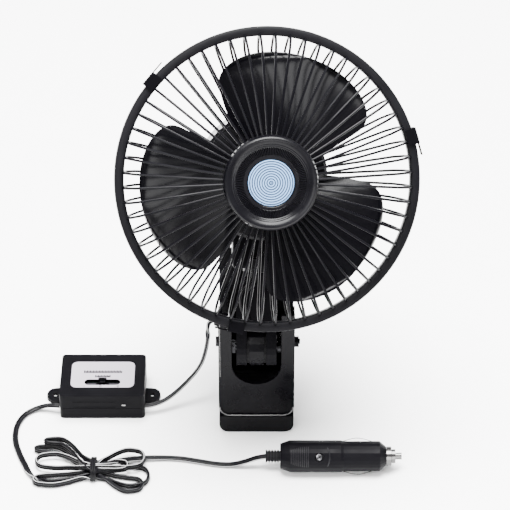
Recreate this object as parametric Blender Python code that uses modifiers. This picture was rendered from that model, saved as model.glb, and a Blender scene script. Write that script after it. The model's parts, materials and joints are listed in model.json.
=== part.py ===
"""Clip-on 12 V vehicle fan: sprung clamp, tilting neck, turning head, speed controller and lighter plug.

The part stands on the foot of its clamp. The origin is the middle of the foot's front half, on the
surface it stands on. +X is to the right seen from the front, +Y runs to the back and +Z is up.
Sizes are written in millimetres and turned into metres by the helpers.
"""
import math

import bmesh
import bpy
from mathutils import Matrix, Vector

MM = 0.001
GAP = 0.3
PART_NAME = "clip_fan"

# Clamp
PLATE_HALF_W = 26.0
PLATE_CORNER_R = 7.2
WALL = 3.0
FOOT_FRONT_Y = -15.2
FOOT_BACK_Y = 44.0
FOOT_H = 14.4
SHELL_FRONT_Y = -14.0
SHELL_TOP_Z = 104.0
NOTCH_R = 17.0
NOTCH_CENTRE_Z = 60.0
HINGE_Y = 14.0
HINGE_Z = 58.0
HINGE_PIN_R = 2.0
LUG_HALF_W = 5.0

# Neck: leans back from upright, the head turns about it
TILT_Y = -6.0
TILT_Z = 70.0
REST_LEAN_DEG = 33.5
REST_PAN_DEG = 3.5
NECK_LENGTH = 118.0
TURN_AXIS_X = 3.2
NECK_TOP = 52.0
KNUCKLE_R = 12.6
CHEEK_IN = 6.6
CHEEK_OUT = 13.6
TILT_BOLT_R = 2.2

# Head, along the fan axis from the turning axis
RIM_R = 100.2
RIM_WIDTH = 6.4
RIM_PLANE = 65.0
WIRE_COUNT = 60
WIRE_W = 1.5
CAP_R = 30.6
CAP_FRONT = 103.0
HOUSING_R = 43.0
HOUSING_BACK = -40.0
HOUSING_FRONT = 29.0
BLADE_TIP_R = 84.0
BLADE_COUNT = 3
SHAFT_R = 2.5
CLIP_ANGLES = (16.5, 139.5, 258.0)

# Controller
BOX_X = -108.0
BOX_HALF_W = 29.7
BOX_FRONT_Y = -1.1
BOX_BACK_Y = 43.5
BOX_H = 20.5
BOX_SPLIT = 9.0
EAR_Y = 21.0
KNOB_Y = 13.5
SLOT_HALF = 12.6
SLOT_HALF_W = 3.0

# Cord: flat twin lead, drawn round here with the same section area
CORD_R = 1.5
CORD_BOX_Z = 6.0
CORD_BOX_Y = 5.3

# Lighter plug, lying along X
PLUG_Y = -52.0
PLUG_Z = 11.2
PLUG_ROLL_DEG = 51.5
PLUG_END_X = 6.2
PLUG_BACK_X = 16.2
PLUG_SCREW_X = 42.6
PLUG_STEP_X = 57.4
PLUG_NOSE_X = 88.4
NOSE_R = 6.6
GRIP_R = 10.9
INSERT_R = 10.35

COLOURS = {
    "black_plastic": ((0.018, 0.018, 0.02), 0.45, 0.0),
    "black_gloss": ((0.012, 0.012, 0.014), 0.2, 0.0),
    "black_coated_wire": ((0.015, 0.015, 0.016), 0.3, 0.3),
    "black_sheet_metal": ((0.03, 0.03, 0.032), 0.35, 0.6),
    "bright_steel": ((0.6, 0.6, 0.6), 0.25, 1.0),
    "brass": ((0.7, 0.5, 0.2), 0.3, 1.0),
    "blue_badge": ((0.35, 0.6, 0.85), 0.3, 0.0),
    "label_film": ((0.85, 0.83, 0.88), 0.4, 0.0),
    "rubber": ((0.02, 0.02, 0.02), 0.8, 0.0),
    "copper": ((0.75, 0.35, 0.2), 0.35, 1.0),
    "board": ((0.05, 0.25, 0.1), 0.5, 0.0),
    "lamp_lens": ((0.8, 0.8, 0.8), 0.2, 0.0),
    "ferrite": ((0.12, 0.12, 0.13), 0.7, 0.0),
}


def clear_scene():
    """Remove whatever the startup file holds."""
    for obj in list(bpy.data.objects):
        bpy.data.objects.remove(obj, do_unlink=True)


clear_scene()
PARTS = bpy.data.collections.new(PART_NAME)
CUTTERS = bpy.data.collections.new("cutters")
bpy.context.scene.collection.children.link(PARTS)
bpy.context.scene.collection.children.link(CUTTERS)
MATERIALS = {}


def material(name):
    """One Principled material for each named finish."""
    if name not in MATERIALS:
        colour, roughness, metallic = COLOURS[name]
        mat = bpy.data.materials.new(name)
        mat.use_nodes = True
        shader = mat.node_tree.nodes["Principled BSDF"]
        shader.inputs["Base Color"].default_value = (*colour, 1.0)
        shader.inputs["Roughness"].default_value = roughness
        shader.inputs["Metallic"].default_value = metallic
        MATERIALS[name] = mat
    return MATERIALS[name]


def frame_matrix(origin, x_axis, y_axis, z_axis):
    """Matrix of a local frame whose origin is given in millimetres."""
    matrix = Matrix((x_axis, y_axis, z_axis)).transposed().to_4x4()
    matrix.translation = Vector(origin) * MM
    return matrix


LEAN = math.radians(REST_LEAN_DEG)
PAN = math.radians(REST_PAN_DEG)
RIGHT = Vector((1.0, 0.0, 0.0))
NECK_UP = Vector((0.0, math.sin(LEAN), math.cos(LEAN)))
NECK_OUT = Vector((0.0, -math.cos(LEAN), math.sin(LEAN)))
HEAD_OUT = NECK_OUT * math.cos(PAN) + RIGHT * math.sin(PAN)
HEAD_RIGHT = NECK_UP.cross(HEAD_OUT)
TILT_POINT = Vector((0.0, TILT_Y, TILT_Z))
HEAD_POINT = TILT_POINT + NECK_UP * NECK_LENGTH + RIGHT * TURN_AXIS_X
WORLD = Matrix.Identity(4)
NECK = frame_matrix(TILT_POINT, RIGHT, NECK_UP, NECK_OUT)
HEAD = frame_matrix(HEAD_POINT, HEAD_RIGHT, NECK_UP, HEAD_OUT)
ROLL = math.radians(PLUG_ROLL_DEG)
PLUG = frame_matrix((0.0, PLUG_Y, PLUG_Z), (0, math.cos(ROLL), math.sin(ROLL)),
                    (0, -math.sin(ROLL), math.cos(ROLL)),
                    (1, 0, 0))
ALONG_X = frame_matrix((0.0, 0.0, 0.0), (0, 1, 0), (0, 0, 1), (1, 0, 0))


def new_object(name, mesh, matrix=WORLD, finish=None, cutter=False):
    """Link a mesh as a part, or as a hidden cutter."""
    obj = bpy.data.objects.new(name, mesh)
    obj.matrix_world = matrix
    if cutter:
        CUTTERS.objects.link(obj)
        obj.hide_render = True
        obj.display_type = "WIRE"
    else:
        PARTS.objects.link(obj)
    if finish:
        mesh.materials.append(material(finish))
    return obj


def mesh_from(name, bm):
    """Turn an edit mesh into a mesh with its faces pointing out."""
    bmesh.ops.remove_doubles(bm, verts=bm.verts, dist=1e-7)
    bmesh.ops.recalc_face_normals(bm, faces=bm.faces)
    mesh = bpy.data.meshes.new(name)
    bm.to_mesh(mesh)
    bm.free()
    return mesh


def smooth(obj, angle=35.0):
    """Shade a round piece smooth, keeping its edges sharp."""
    obj.data.shade_smooth()
    obj.data.set_sharp_from_angle(angle=math.radians(angle))
    return obj


def bevel(obj, width, segments=1, angle=40.0):
    """Round an object's edges."""
    mod = obj.modifiers.new("edge_round", "BEVEL")
    mod.width = width * MM
    mod.segments = segments
    mod.limit_method = "ANGLE"
    mod.angle_limit = math.radians(angle)
    return obj


def boolean(obj, tool, operation):
    """Add one Boolean with a hidden tool."""
    mod = obj.modifiers.new(operation.lower() + "_" + tool.name, "BOOLEAN")
    mod.operation = operation
    mod.solver = "EXACT"
    mod.object = tool
    return obj


def cut(obj, *tools):
    for tool in tools:
        boolean(obj, tool, "DIFFERENCE")
    return obj


def join(obj, *tools):
    for tool in tools:
        boolean(obj, tool, "UNION")
    return obj


def box(name, low, high, matrix=WORLD, finish=None, cutter=False):
    """Box between two corners, in the given frame."""
    bm = bmesh.new()
    size = [high[i] - low[i] for i in range(3)]
    middle = [(high[i] + low[i]) / 2 for i in range(3)]
    place = Matrix.Translation(Vector(middle) * MM) @ Matrix.Diagonal((*[s * MM for s in size], 1.0))
    bmesh.ops.create_cube(bm, size=1.0, matrix=place)
    return new_object(name, mesh_from(name, bm), matrix, finish, cutter)


def rod(name, start, end, radius, matrix=WORLD, finish=None, cutter=False, sides=16, radius_end=None):
    """Solid cylinder or cone between two points, in the given frame."""
    start, end = Vector(start) * MM, Vector(end) * MM
    axis = end - start
    place = Matrix.Translation((start + end) / 2) @ axis.to_track_quat("Z", "Y").to_matrix().to_4x4()
    far = radius if radius_end is None else radius_end
    bm = bmesh.new()
    bmesh.ops.create_cone(bm, cap_ends=True, segments=sides, radius1=radius * MM, radius2=far * MM,
                          depth=axis.length, matrix=place)
    obj = new_object(name, mesh_from(name, bm), matrix, finish, cutter)
    return smooth(obj)


def turned(name, profile, matrix=WORLD, finish=None, cutter=False, steps=32, closed=False):
    """Turn an (r, z) profile about the frame's Z axis; it runs down the outer side."""
    mesh = bpy.data.meshes.new(name)
    points = [(r * MM, 0.0, z * MM) for r, z in profile]
    edges = [(i, i + 1) for i in range(len(points) - 1)]
    if closed:
        edges.append((len(points) - 1, 0))
    mesh.from_pydata(points, edges, [])
    obj = new_object(name, mesh, matrix, finish, cutter)
    screw = obj.modifiers.new("turn", "SCREW")
    screw.steps = steps
    screw.render_steps = steps
    screw.use_merge_vertices = True
    screw.merge_threshold = 1e-6
    screw.use_smooth_shade = False
    return obj


def slab(name, outline, low, high, matrix=WORLD, finish=None, cutter=False, axis="Z"):
    """Extrude a flat outline; with axis X the outline is given as (y, z) pairs."""
    curve = bpy.data.curves.new(name + "_outline", "CURVE")
    curve.dimensions = "2D"
    curve.fill_mode = "BOTH"
    curve.extrude = (high - low) / 2 * MM
    spline = curve.splines.new("POLY")
    spline.points.add(len(outline) - 1)
    for point, (u, v) in zip(spline.points, outline):
        point.co = (u * MM, v * MM, 0.0, 1.0)
    spline.use_cyclic_u = True
    source = bpy.data.objects.new(name + "_outline", curve)
    bpy.context.scene.collection.objects.link(source)
    mesh = bpy.data.meshes.new_from_object(source.evaluated_get(bpy.context.evaluated_depsgraph_get()))
    bpy.data.objects.remove(source)
    bm = bmesh.new()
    bm.from_mesh(mesh)
    turn = ALONG_X if axis == "X" else WORLD
    bmesh.ops.transform(bm, verts=bm.verts, matrix=turn @ Matrix.Translation((0, 0, (low + high) / 2 * MM)))
    return new_object(name, mesh_from(name, bm), matrix, finish, cutter)


def tube(name, points, radius, matrix=WORLD, finish=None, resolution=2):
    """Round tube along a polyline, as a curve with filled ends."""
    curve = bpy.data.curves.new(name, "CURVE")
    curve.dimensions = "3D"
    curve.bevel_depth = radius * MM
    curve.bevel_resolution = resolution
    curve.use_fill_caps = True
    spline = curve.splines.new("POLY")
    spline.points.add(len(points) - 1)
    for point, place in zip(spline.points, points):
        point.co = (place[0] * MM, place[1] * MM, place[2] * MM, 1.0)
    obj = bpy.data.objects.new(name, curve)
    obj.matrix_world = matrix
    PARTS.objects.link(obj)
    curve.materials.append(material(finish))
    return obj


def smooth_route(points, spacing):
    """Evenly spaced points on a smooth curve through the route's own points."""
    pts = [Vector(p) for p in points]
    pts = [2 * pts[0] - pts[1]] + pts + [2 * pts[-1] - pts[-2]]
    fine = []
    for i in range(1, len(pts) - 2):
        a, b, c, d = pts[i - 1:i + 3]
        for k in range(12):
            t = k / 12
            fine.append(0.5 * (2 * b + (c - a) * t + (2 * a - 5 * b + 4 * c - d) * t * t
                               + (3 * b - 3 * c + d - a) * t ** 3))
    fine.append(pts[-2])
    lengths = [0.0]
    for first, second in zip(fine, fine[1:]):
        lengths.append(lengths[-1] + (second - first).length)
    count = max(2, round(lengths[-1] / spacing))
    result = []
    seg = 0
    for n in range(count + 1):
        want = lengths[-1] * n / count
        while seg < len(lengths) - 2 and lengths[seg + 1] < want:
            seg += 1
        part = (want - lengths[seg]) / max(1e-9, lengths[seg + 1] - lengths[seg])
        result.append(fine[seg].lerp(fine[seg + 1], min(1.0, part)))
    return result


def arc(centre, radius, start_deg, end_deg, count):
    """Points on a circular arc, in the outline's own plane."""
    result = []
    for i in range(count + 1):
        angle = math.radians(start_deg + (end_deg - start_deg) * i / count)
        result.append((centre[0] + radius * math.cos(angle), centre[1] + radius * math.sin(angle)))
    return result


def rounded(low, high, radius, count=3):
    """Rectangle outline with round corners."""
    points = []
    corners = (((high[0], high[1]), 0), ((low[0], high[1]), 90), ((low[0], low[1]), 180),
               ((high[0], low[1]), 270))
    for (x, y), start in corners:
        cx = x - radius if x == high[0] else x + radius
        cy = y - radius if y == high[1] else y + radius
        points += arc((cx, cy), radius, start, start + 90, count)
    return points


def at_angle(radius, degrees, z):
    """Point in the head's frame at an angle about the fan axis."""
    return (radius * math.cos(math.radians(degrees)), radius * math.sin(math.radians(degrees)), z)


# ---------------------------------------------------------------- clamp

def build_rear_shell():
    """Rear clamp shell: foot with its front lip, hollow back, cheeks, handle and the neck's lug."""
    side = [(FOOT_FRONT_Y, -2), (FOOT_BACK_Y, -2), (FOOT_BACK_Y, 66), (56, 108), (52.5, 110),
            (40, 74), (36, 70), (24, 66), (24, FOOT_H), (FOOT_FRONT_Y, FOOT_H)]
    shell = slab("clamp_rear_shell", side, -30, 30, finish="black_plastic", axis="X")
    hollow = slab("rear_hollow", [(7, FOOT_H), (FOOT_BACK_Y - WALL, FOOT_H), (FOOT_BACK_Y - WALL, 64),
                                  (49, 84), (7, 84)],
                  -19.8, 19.8, cutter=True, axis="X")
    cheeks = [slab("cheek_" + word, [(24.5, FOOT_H - 2), (24.5, 60), (24, 66), (6, 66), (2, 60), (2, 48),
                                     (8, 30), (8, FOOT_H - 2)], lo, hi, cutter=True, axis="X")
              for word, lo, hi in (("left", -22.8, -19.8), ("right", 19.8, 22.8))]
    foot_edges = slab("foot_outline", rounded((-25.8, 0), (25.8, 140), 6.6, 4), -60, 17, cutter=True)
    bmesh_turn(foot_edges, Matrix.Rotation(math.radians(90), 4, "X"))
    lug = slab("neck_lug", arc((TILT_Y, TILT_Z), KNUCKLE_R, 40, 270, 10) + [(10, 50), (43, 30), (43, 48)],
               -LUG_HALF_W, LUG_HALF_W, cutter=True, axis="X")
    cut(shell, hollow)
    boolean(shell, foot_edges, "INTERSECT")
    join(shell, lug, *cheeks)
    pin_hole = rod("hinge_hole", (-40, HINGE_Y, HINGE_Z), (40, HINGE_Y, HINGE_Z), HINGE_PIN_R + GAP,
                   cutter=True)
    bolt_hole = rod("tilt_hole", (-40, TILT_Y, TILT_Z), (40, TILT_Y, TILT_Z), TILT_BOLT_R + GAP, cutter=True)
    cord_hole = rod("cord_hole", (-40, 33, 60), (-15, 33, 60), 3.0, cutter=True)
    cut(shell, pin_hole, bolt_hole, cord_hole)
    return shell


def bmesh_turn(obj, matrix):
    """Turn a piece's mesh inside its own frame."""
    obj.data.transform(matrix)


def build_front_shell():
    """Front clamp shell: curved plate with an open U notch, side flanges and hinge ears."""
    low = FOOT_H + 0.5
    side = PLATE_HALF_W - PLATE_CORNER_R
    outline = arc((side, low + PLATE_CORNER_R), PLATE_CORNER_R, -90, 0, 4) + [(PLATE_HALF_W, SHELL_TOP_Z)]
    outline += [(NOTCH_R, SHELL_TOP_Z)] + arc((0, NOTCH_CENTRE_Z), NOTCH_R, 0, -180, 12)
    outline += [(-NOTCH_R, SHELL_TOP_Z), (-PLATE_HALF_W, SHELL_TOP_Z)]
    outline += arc((-side, low + PLATE_CORNER_R), PLATE_CORNER_R, 180, 270, 4)
    plate = slab("clamp_front_shell", dedupe(outline), 0, WALL, finish="black_plastic")
    bmesh_turn(plate, Matrix.Translation((0, (SHELL_FRONT_Y + WALL) * MM, 0))
               @ Matrix.Rotation(math.radians(90), 4, "X"))
    flange = [(SHELL_FRONT_Y + 1, 22), (-2, 22), (8, 50)] + arc((HINGE_Y, HINGE_Z), 7.5, -60, 90, 6)
    flange += [(4, 72), (-1, SHELL_TOP_Z - 2), (SHELL_FRONT_Y + 1, SHELL_TOP_Z - 2)]
    left = slab("flange_left", flange, -25.9, -23.1, cutter=True, axis="X")
    right = slab("flange_right", flange, 23.1, 25.9, cutter=True, axis="X")
    join(plate, left, right)
    hole = rod("front_hinge_hole", (-40, HINGE_Y, HINGE_Z), (40, HINGE_Y, HINGE_Z), HINGE_PIN_R + GAP,
               cutter=True)
    return cut(plate, hole)


def dedupe(points):
    """Drop a point that repeats the one before it."""
    result = []
    for point in points:
        if not result or math.dist(point, result[-1]) > 1e-4:
            result.append(point)
    return result


def build_clamp_hardware():
    """Hinge pin and nut, torsion spring, jaw pads, tilt bolt and nut, cord grommet."""
    pin = rod("clamp_hinge_pin", (-26.4, HINGE_Y, HINGE_Z), (30.2, HINGE_Y, HINGE_Z), HINGE_PIN_R,
              finish="bright_steel")
    join(pin, rod("pin_head", (-28.2, HINGE_Y, HINGE_Z), (-26.3, HINGE_Y, HINGE_Z), 3.6, cutter=True))
    nut = rod("clamp_hinge_nut", (26.3, HINGE_Y, HINGE_Z), (29.3, HINGE_Y, HINGE_Z), 4.2, sides=6,
              finish="bright_steel")
    cut(nut, rod("nut_bore", (20, HINGE_Y, HINGE_Z), (40, HINGE_Y, HINGE_Z), HINGE_PIN_R + GAP, cutter=True))
    bolt = rod("tilt_bolt", (-16.5, TILT_Y, TILT_Z), (14.6, TILT_Y, TILT_Z), TILT_BOLT_R,
               finish="bright_steel")
    join(bolt, rod("bolt_head", (14.4, TILT_Y, TILT_Z), (16.6, TILT_Y, TILT_Z), 4.2, cutter=True))
    tilt_nut = rod("tilt_nut", (-16.4, TILT_Y, TILT_Z), (-14.4, TILT_Y, TILT_Z), 4.4, sides=6,
                   finish="bright_steel")
    cut(tilt_nut, rod("tilt_nut_bore", (-20, TILT_Y, TILT_Z), (-10, TILT_Y, TILT_Z), TILT_BOLT_R + GAP,
                      cutter=True))
    box("clamp_rear_pad", (-18, 7.5, FOOT_H + GAP), (18, 11.0, 34), finish="rubber")
    box("clamp_front_pad", (-20, SHELL_FRONT_Y + WALL + GAP, 22), (20, -7.5, 36), finish="rubber")
    build_spring()
    build_grommet()


def build_spring():
    """Torsion spring wound on the hinge pin, one leg on each handle."""
    wire_r, coil_r, count = 0.8, 4.4, 34
    start, end = math.radians(110.0), math.radians(45.0 + 4 * 360.0)
    points = [(6.8, 39.6, 60.0)]
    for i in range(count + 1):
        angle = start + (end - start) * i / count
        points.append((6.8 + 9.0 * i / count, HINGE_Y + coil_r * math.cos(angle),
                       HINGE_Z + coil_r * math.sin(angle)))
    points += [(16.6, 8.0, 70.5), (18.2, -4.0, 80.0), (18.4, -9.8, 86.0)]
    tube("clamp_spring", points, wire_r, finish="bright_steel", resolution=1)


def build_grommet():
    """Strain relief in the rear shell's left side, where the cord comes out."""
    profile = [(0, 3.6), (2.6, 3.6), (3.9, 0.8), (3.9, -0.0), (2.6, -0.0), (2.6, -4.0), (0, -4.0)]
    place = frame_matrix((-26.15, 33.0, 60.0), (0, 1, 0), (0, 0, -1), (-1, 0, 0))
    turned("cord_grommet", profile, place, "rubber", steps=12)


# ---------------------------------------------------------------- neck

def build_neck():
    """Forked arm: two cheeks hug the clamp's lug, a round boss on top carries the head."""
    outline = [(-14, 12), (14, 12), (14, 30), (TURN_AXIS_X + 12, NECK_TOP), (TURN_AXIS_X - 12, NECK_TOP),
               (-14, 30)]
    arm = slab("neck_arm", outline, -10.5, 10.5, NECK, "black_plastic")
    cheek = arc((0, 0), KNUCKLE_R, 180, 360, 10) + [(10.4, 16), (-10.4, 16)]
    for word, low in (("left", -CHEEK_OUT), ("right", CHEEK_IN)):
        piece = slab("fork_" + word, [(y, -x) for x, y in cheek], 0, CHEEK_OUT - CHEEK_IN, NECK, cutter=True)
        bmesh_turn(piece, Matrix.Translation((low * MM, 0, 0)) @ fork_turn())
        join(arm, piece)
    lug_room = rod("lug_room", (-5.5, 0, 0), (5.5, 0, 0), 17.5, NECK, cutter=True, sides=24)
    bolt_hole = rod("arm_bolt_hole", (-30, 0, 0), (30, 0, 0), TILT_BOLT_R + GAP, NECK, cutter=True)
    pin_hole = rod("pan_pin_hole", (TURN_AXIS_X, 36, 0), (TURN_AXIS_X, 70, 0), 4.0 + GAP, NECK, cutter=True)
    lead_hole = rod("lead_hole", (-6.0, 20, 6), (-6.0, 20, 30), 2.4, NECK, cutter=True)
    cut(arm, lug_room, bolt_hole, pin_hole, lead_hole)
    for word, x in (("left", -5.8), ("right", 5.8)):
        washer = rod("friction_washer_" + word, (x - 0.6, 0, 0), (x + 0.6, 0, 0), 11.0, NECK, "rubber")
        cut(washer, rod("washer_bore_" + word, (x - 3, 0, 0), (x + 3, 0, 0), TILT_BOLT_R + GAP, NECK,
                        cutter=True))
    rod("pan_pin", (TURN_AXIS_X, 36 + GAP, 0), (TURN_AXIS_X, NECK_TOP + 14, 0), 4.0, NECK, "bright_steel")


def fork_turn():
    """Turn an outline given as (up, out) so that its thickness runs along the neck's X."""
    return Matrix(((0, 0, 1, 0), (1, 0, 0, 0), (0, 1, 0, 0), (0, 0, 0, 1)))


# ---------------------------------------------------------------- head

def build_motor():
    """Motor housing in two halves, the can with its magnet, bearings and brush card."""
    rear = turned("motor_rear_cover", [
        (0, HOUSING_BACK + 3), (25, HOUSING_BACK + 3), (35.6, -32), (HOUSING_R - 3, -21),
        (HOUSING_R - 3, -0.9), (HOUSING_R, -0.9), (HOUSING_R, -22), (38, -34), (26, HOUSING_BACK),
        (0, HOUSING_BACK)], HEAD, "black_plastic")
    boss_low = NECK_TOP - NECK_LENGTH + GAP
    boss = rod("pan_boss", (0, boss_low, 0), (0, -41.5, 0), 12.5, HEAD, cutter=True, sides=24)
    inside = rod("cover_inside", (0, 0, -21), (0, 0, 30), HOUSING_R - 2.5, HEAD, cutter=True, sides=32)
    pin_hole = rod("boss_bore", (0, boss_low - 5, 0), (0, boss_low + 16, 0), 4.0 + GAP, HEAD, cutter=True)
    join(rear, boss)
    cut(rear, inside, pin_hole)
    front = turned("motor_front_housing", [
        (14, HOUSING_FRONT), (39, HOUSING_FRONT), (HOUSING_R, HOUSING_FRONT - 4), (HOUSING_R, -0.6),
        (HOUSING_R - 3, -0.6), (HOUSING_R - 3, HOUSING_FRONT - 4.5), (14, HOUSING_FRONT - 3)],
        HEAD, "black_plastic", closed=True)
    cut(front, rod("front_boss_room", (0, -80, 0), (0, -34, 0), 12.5 + GAP, HEAD, cutter=True, sides=24))
    turned("motor_can", [(8, 24), (19, 24), (19, -26), (18, -26), (18, 22.8), (8, 22.8)], HEAD,
           "bright_steel",
           closed=True, steps=24)
    turned("motor_magnet_ring", [(17.6, 18), (17.6, -18), (14.5, -18), (14.5, 18)], HEAD, "ferrite",
           closed=True, steps=24)
    turned("motor_end_card", [(17.6, -23), (17.6, -25.5), (6.5, -25.5), (6.5, -23)], HEAD, "board",
           closed=True,
           steps=20)
    for word, z in (("front", 19.5), ("rear", -28.0)):
        turned("bearing_" + word, [(6, z + 2.5), (6, z - 2.5), (SHAFT_R + GAP, z - 2.5),
                                   (SHAFT_R + GAP, z + 2.5)],
               HEAD, "brass", closed=True, steps=16)
    carry_rear_bearing(rear)


def carry_rear_bearing(rear):
    """Post inside the rear cover that holds the rear bearing, and struts that hold the can."""
    post = rod("bearing_post", (0, 0, HOUSING_BACK + 1), (0, 0, -31), 8.0, HEAD, cutter=True)
    join(rear, post)
    cut(rear, rod("post_bore", (0, 0, -34), (0, 0, -20), SHAFT_R + 2 * GAP, HEAD, cutter=True))


def build_rotor():
    """Shaft, armature, three-leaf blade and its nut."""
    rod("motor_shaft", (0, 0, -33), (0, 0, 86), SHAFT_R, HEAD, "bright_steel")
    turned("armature", [(14.0, 15), (14.0, -12), (6, -14), (6, -21), (SHAFT_R + GAP, -21),
                        (SHAFT_R + GAP, 15)],
           HEAD, "copper", closed=True, steps=20)
    build_blade()
    turned("blade_nut", [(9, 85), (10, 83), (10, 80.5), (SHAFT_R + GAP, 80.5), (SHAFT_R + GAP, 85)], HEAD,
           "black_plastic", closed=True, steps=12)


def blade_surface(u, v):
    """Mid surface of one leaf: u runs from root to tip, v from trailing to leading edge."""
    inner, outer, shoulder = 15.0, BLADE_TIP_R, 0.72
    low_edge = 24.0 + 6.0 * u
    high_edge = 128.0 - 14.0 * u
    past = min(0.99, max(0.0, (u - shoulder) / (1.0 - shoulder)))
    inset = 0.5 * (high_edge - low_edge) * (1.0 - (1.0 - past ** 3) ** (1.0 / 3.0))
    angle = (low_edge + inset) * (1 - v) + (high_edge - inset) * v
    radius = inner + (outer - inner) * u
    depth = 62.0 + (0.5 - v) * (30.0 - 8.0 * u) + 3.0 * math.sin(math.pi * v)
    return Vector(at_angle(radius, angle, depth))


def row_places(rows):
    """Rows from root to tip, closer together where the tip rounds off."""
    return [1.0 - (1.0 - i / rows) ** 1.7 for i in range(rows + 1)]


def build_blade():
    """Hub cup with three wide twisted leaves, one moulding."""
    hub = turned("fan_blade", [(0, 80), (12, 80), (17.5, 76), (18, 50), (15.5, 50), (15.5, 74), (7, 76),
                               (7, 52),
                               (0, 52)], HEAD, "black_gloss", steps=24)
    cut(hub, rod("hub_bore", (0, 0, 40), (0, 0, 90), SHAFT_R + GAP, HEAD, cutter=True))
    rows, columns, thick = 8, 7, 1.6
    for n in range(BLADE_COUNT):
        bm = bmesh.new()
        layers = []
        for side in (thick / 2, -thick / 2):
            grid = []
            for place in row_places(rows):
                line = []
                for j in range(columns + 1):
                    point = blade_surface(place, j / columns)
                    line.append(bm.verts.new((point + Vector((0, 0, side))) * MM))
                grid.append(line)
            layers.append(grid)
        skin_grids(bm, layers, rows, columns)
        turn = Matrix.Rotation(math.radians(360 / BLADE_COUNT * n), 4, "Z")
        bmesh.ops.transform(bm, verts=bm.verts, matrix=turn)
        leaf = new_object(f"leaf_{n + 1}", mesh_from("leaf", bm), HEAD, cutter=True)
        join(hub, leaf)
    return hub


def skin_grids(bm, layers, rows, columns):
    """Close two offset grids into one leaf."""
    top, bottom = layers
    for i in range(rows):
        for j in range(columns):
            bm.faces.new((top[i][j], top[i + 1][j], top[i + 1][j + 1], top[i][j + 1]))
            bm.faces.new((bottom[i][j], bottom[i][j + 1], bottom[i + 1][j + 1], bottom[i + 1][j]))
    rim = [(0, j) for j in range(columns)] + [(i, columns) for i in range(rows)]
    rim += [(rows, j) for j in range(columns, 0, -1)] + [(i, 0) for i in range(rows, 0, -1)]
    for (a, b), (c, d) in zip(rim, rim[1:] + rim[:1]):
        bm.faces.new((top[a][b], top[c][d], bottom[c][d], bottom[a][b]))


def wire_set(name, path, half_depth):
    """All wires of one guard as flat bars, each bent in its own radial plane."""
    bm = bmesh.new()
    upper = [(r, z + half_depth) for r, z in path]
    lower = [(r, z - half_depth) for r, z in reversed(path)]
    outline = upper + lower
    for n in range(WIRE_COUNT):
        angle = 360 / WIRE_COUNT * (n + 0.5)
        turn = Matrix.Rotation(math.radians(angle), 4, "Z")
        sides = []
        for y in (-WIRE_W / 2, WIRE_W / 2):
            sides.append([bm.verts.new(turn @ (Vector((r, y, z)) * MM)) for r, z in outline])
        bm.faces.new(sides[0])
        bm.faces.new(list(reversed(sides[1])))
        count = len(outline)
        for i in range(count):
            k = (i + 1) % count
            bm.faces.new((sides[0][i], sides[1][i], sides[1][k], sides[0][k]))
    return new_object(name, mesh_from(name, bm), HEAD, cutter=True)


def build_guards():
    """Front and rear wire guards, each with a moulded rim and a centre ring."""
    inner = RIM_R - RIM_WIDTH
    front = turned("front_guard", [(RIM_R - 0.8, RIM_PLANE + 2.5), (RIM_R, RIM_PLANE + 1.5),
                                   (RIM_R, RIM_PLANE - 2.6),
                                   (inner, RIM_PLANE - 2.6), (inner, RIM_PLANE + 2.5)], HEAD,
                                   "black_coated_wire",
                   closed=True, steps=60)
    wires = wire_set("front_wires", [(inner + 2, RIM_PLANE), (inner - 1.5, 74), (86, 80.5), (58, 86.5),
                                     (27, 89)], 0.75)
    ring = turned("front_ring", [(CAP_R - 1.0, 90.4), (CAP_R - 1.0, 87.4), (24, 87.4), (24, 90.4)], HEAD,
                  cutter=True,
                  closed=True, steps=30)
    join(front, wires, ring)
    rear = turned("rear_guard", [(RIM_R, RIM_PLANE - 2.9), (RIM_R, RIM_PLANE - 7),
                                 (RIM_R - 0.8, RIM_PLANE - 8),
                                 (inner, RIM_PLANE - 8), (inner, RIM_PLANE - 2.9)], HEAD, "black_coated_wire",
                  closed=True, steps=60)
    back_wires = wire_set("rear_wires", [(inner + 2, RIM_PLANE - 5), (inner - 1, 48), (86, 38.5),
                                         (38, 32.4)], 0.75)
    back_ring = turned("rear_ring", [(41, 33.0), (41, HOUSING_FRONT + GAP), (30, HOUSING_FRONT + GAP),
                                     (30, 31.2),
                                     (19, 31.2), (19, 33.0)],
                       HEAD, cutter=True, closed=True, steps=30)
    join(rear, back_wires, back_ring)
    turned("rear_guard_nut", [(23, 39), (24, 37.5), (24, 33.4 + GAP), (15, 33.4 + GAP), (15, 39)], HEAD,
           "black_plastic", closed=True, steps=24)


def build_hub_cap():
    """Round centre cap of the front guard, with a ribbed band and a recessed badge."""
    cap = turned("hub_cap", [(0, CAP_FRONT - 3), (15.2, CAP_FRONT - 3), (15.8, CAP_FRONT - 1.4),
                             (22.5, CAP_FRONT - 1.2),
                             (27, CAP_FRONT), (29.4, CAP_FRONT - 1.0), (CAP_R, CAP_FRONT - 4), (CAP_R, 91),
                             (CAP_R - 1.1, 91), (CAP_R - 1.1, 96.4), (0, 96.4)], HEAD, "black_plastic",
                             steps=36)
    turned("hub_badge", [(0, CAP_FRONT - 1.5), (14.3, CAP_FRONT - 1.5), (14.8, CAP_FRONT - 2.0),
                         (14.8, CAP_FRONT - 2.7), (0, CAP_FRONT - 2.7)], HEAD, "blue_badge", steps=32)
    return cap


def clip_frame(degrees):
    """Frame of one rim clip: X outward, Y along the rim, Z forward, origin on the clip's hinge."""
    out = Vector(at_angle(1, degrees, 0))
    along = Vector(at_angle(1, degrees + 90, 0))
    local = Matrix((out, along, Vector((0, 0, 1)))).transposed().to_4x4()
    local.translation = Vector(at_angle(RIM_R + 1.4, degrees, RIM_PLANE - 9.2)) * MM
    return HEAD @ local


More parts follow.
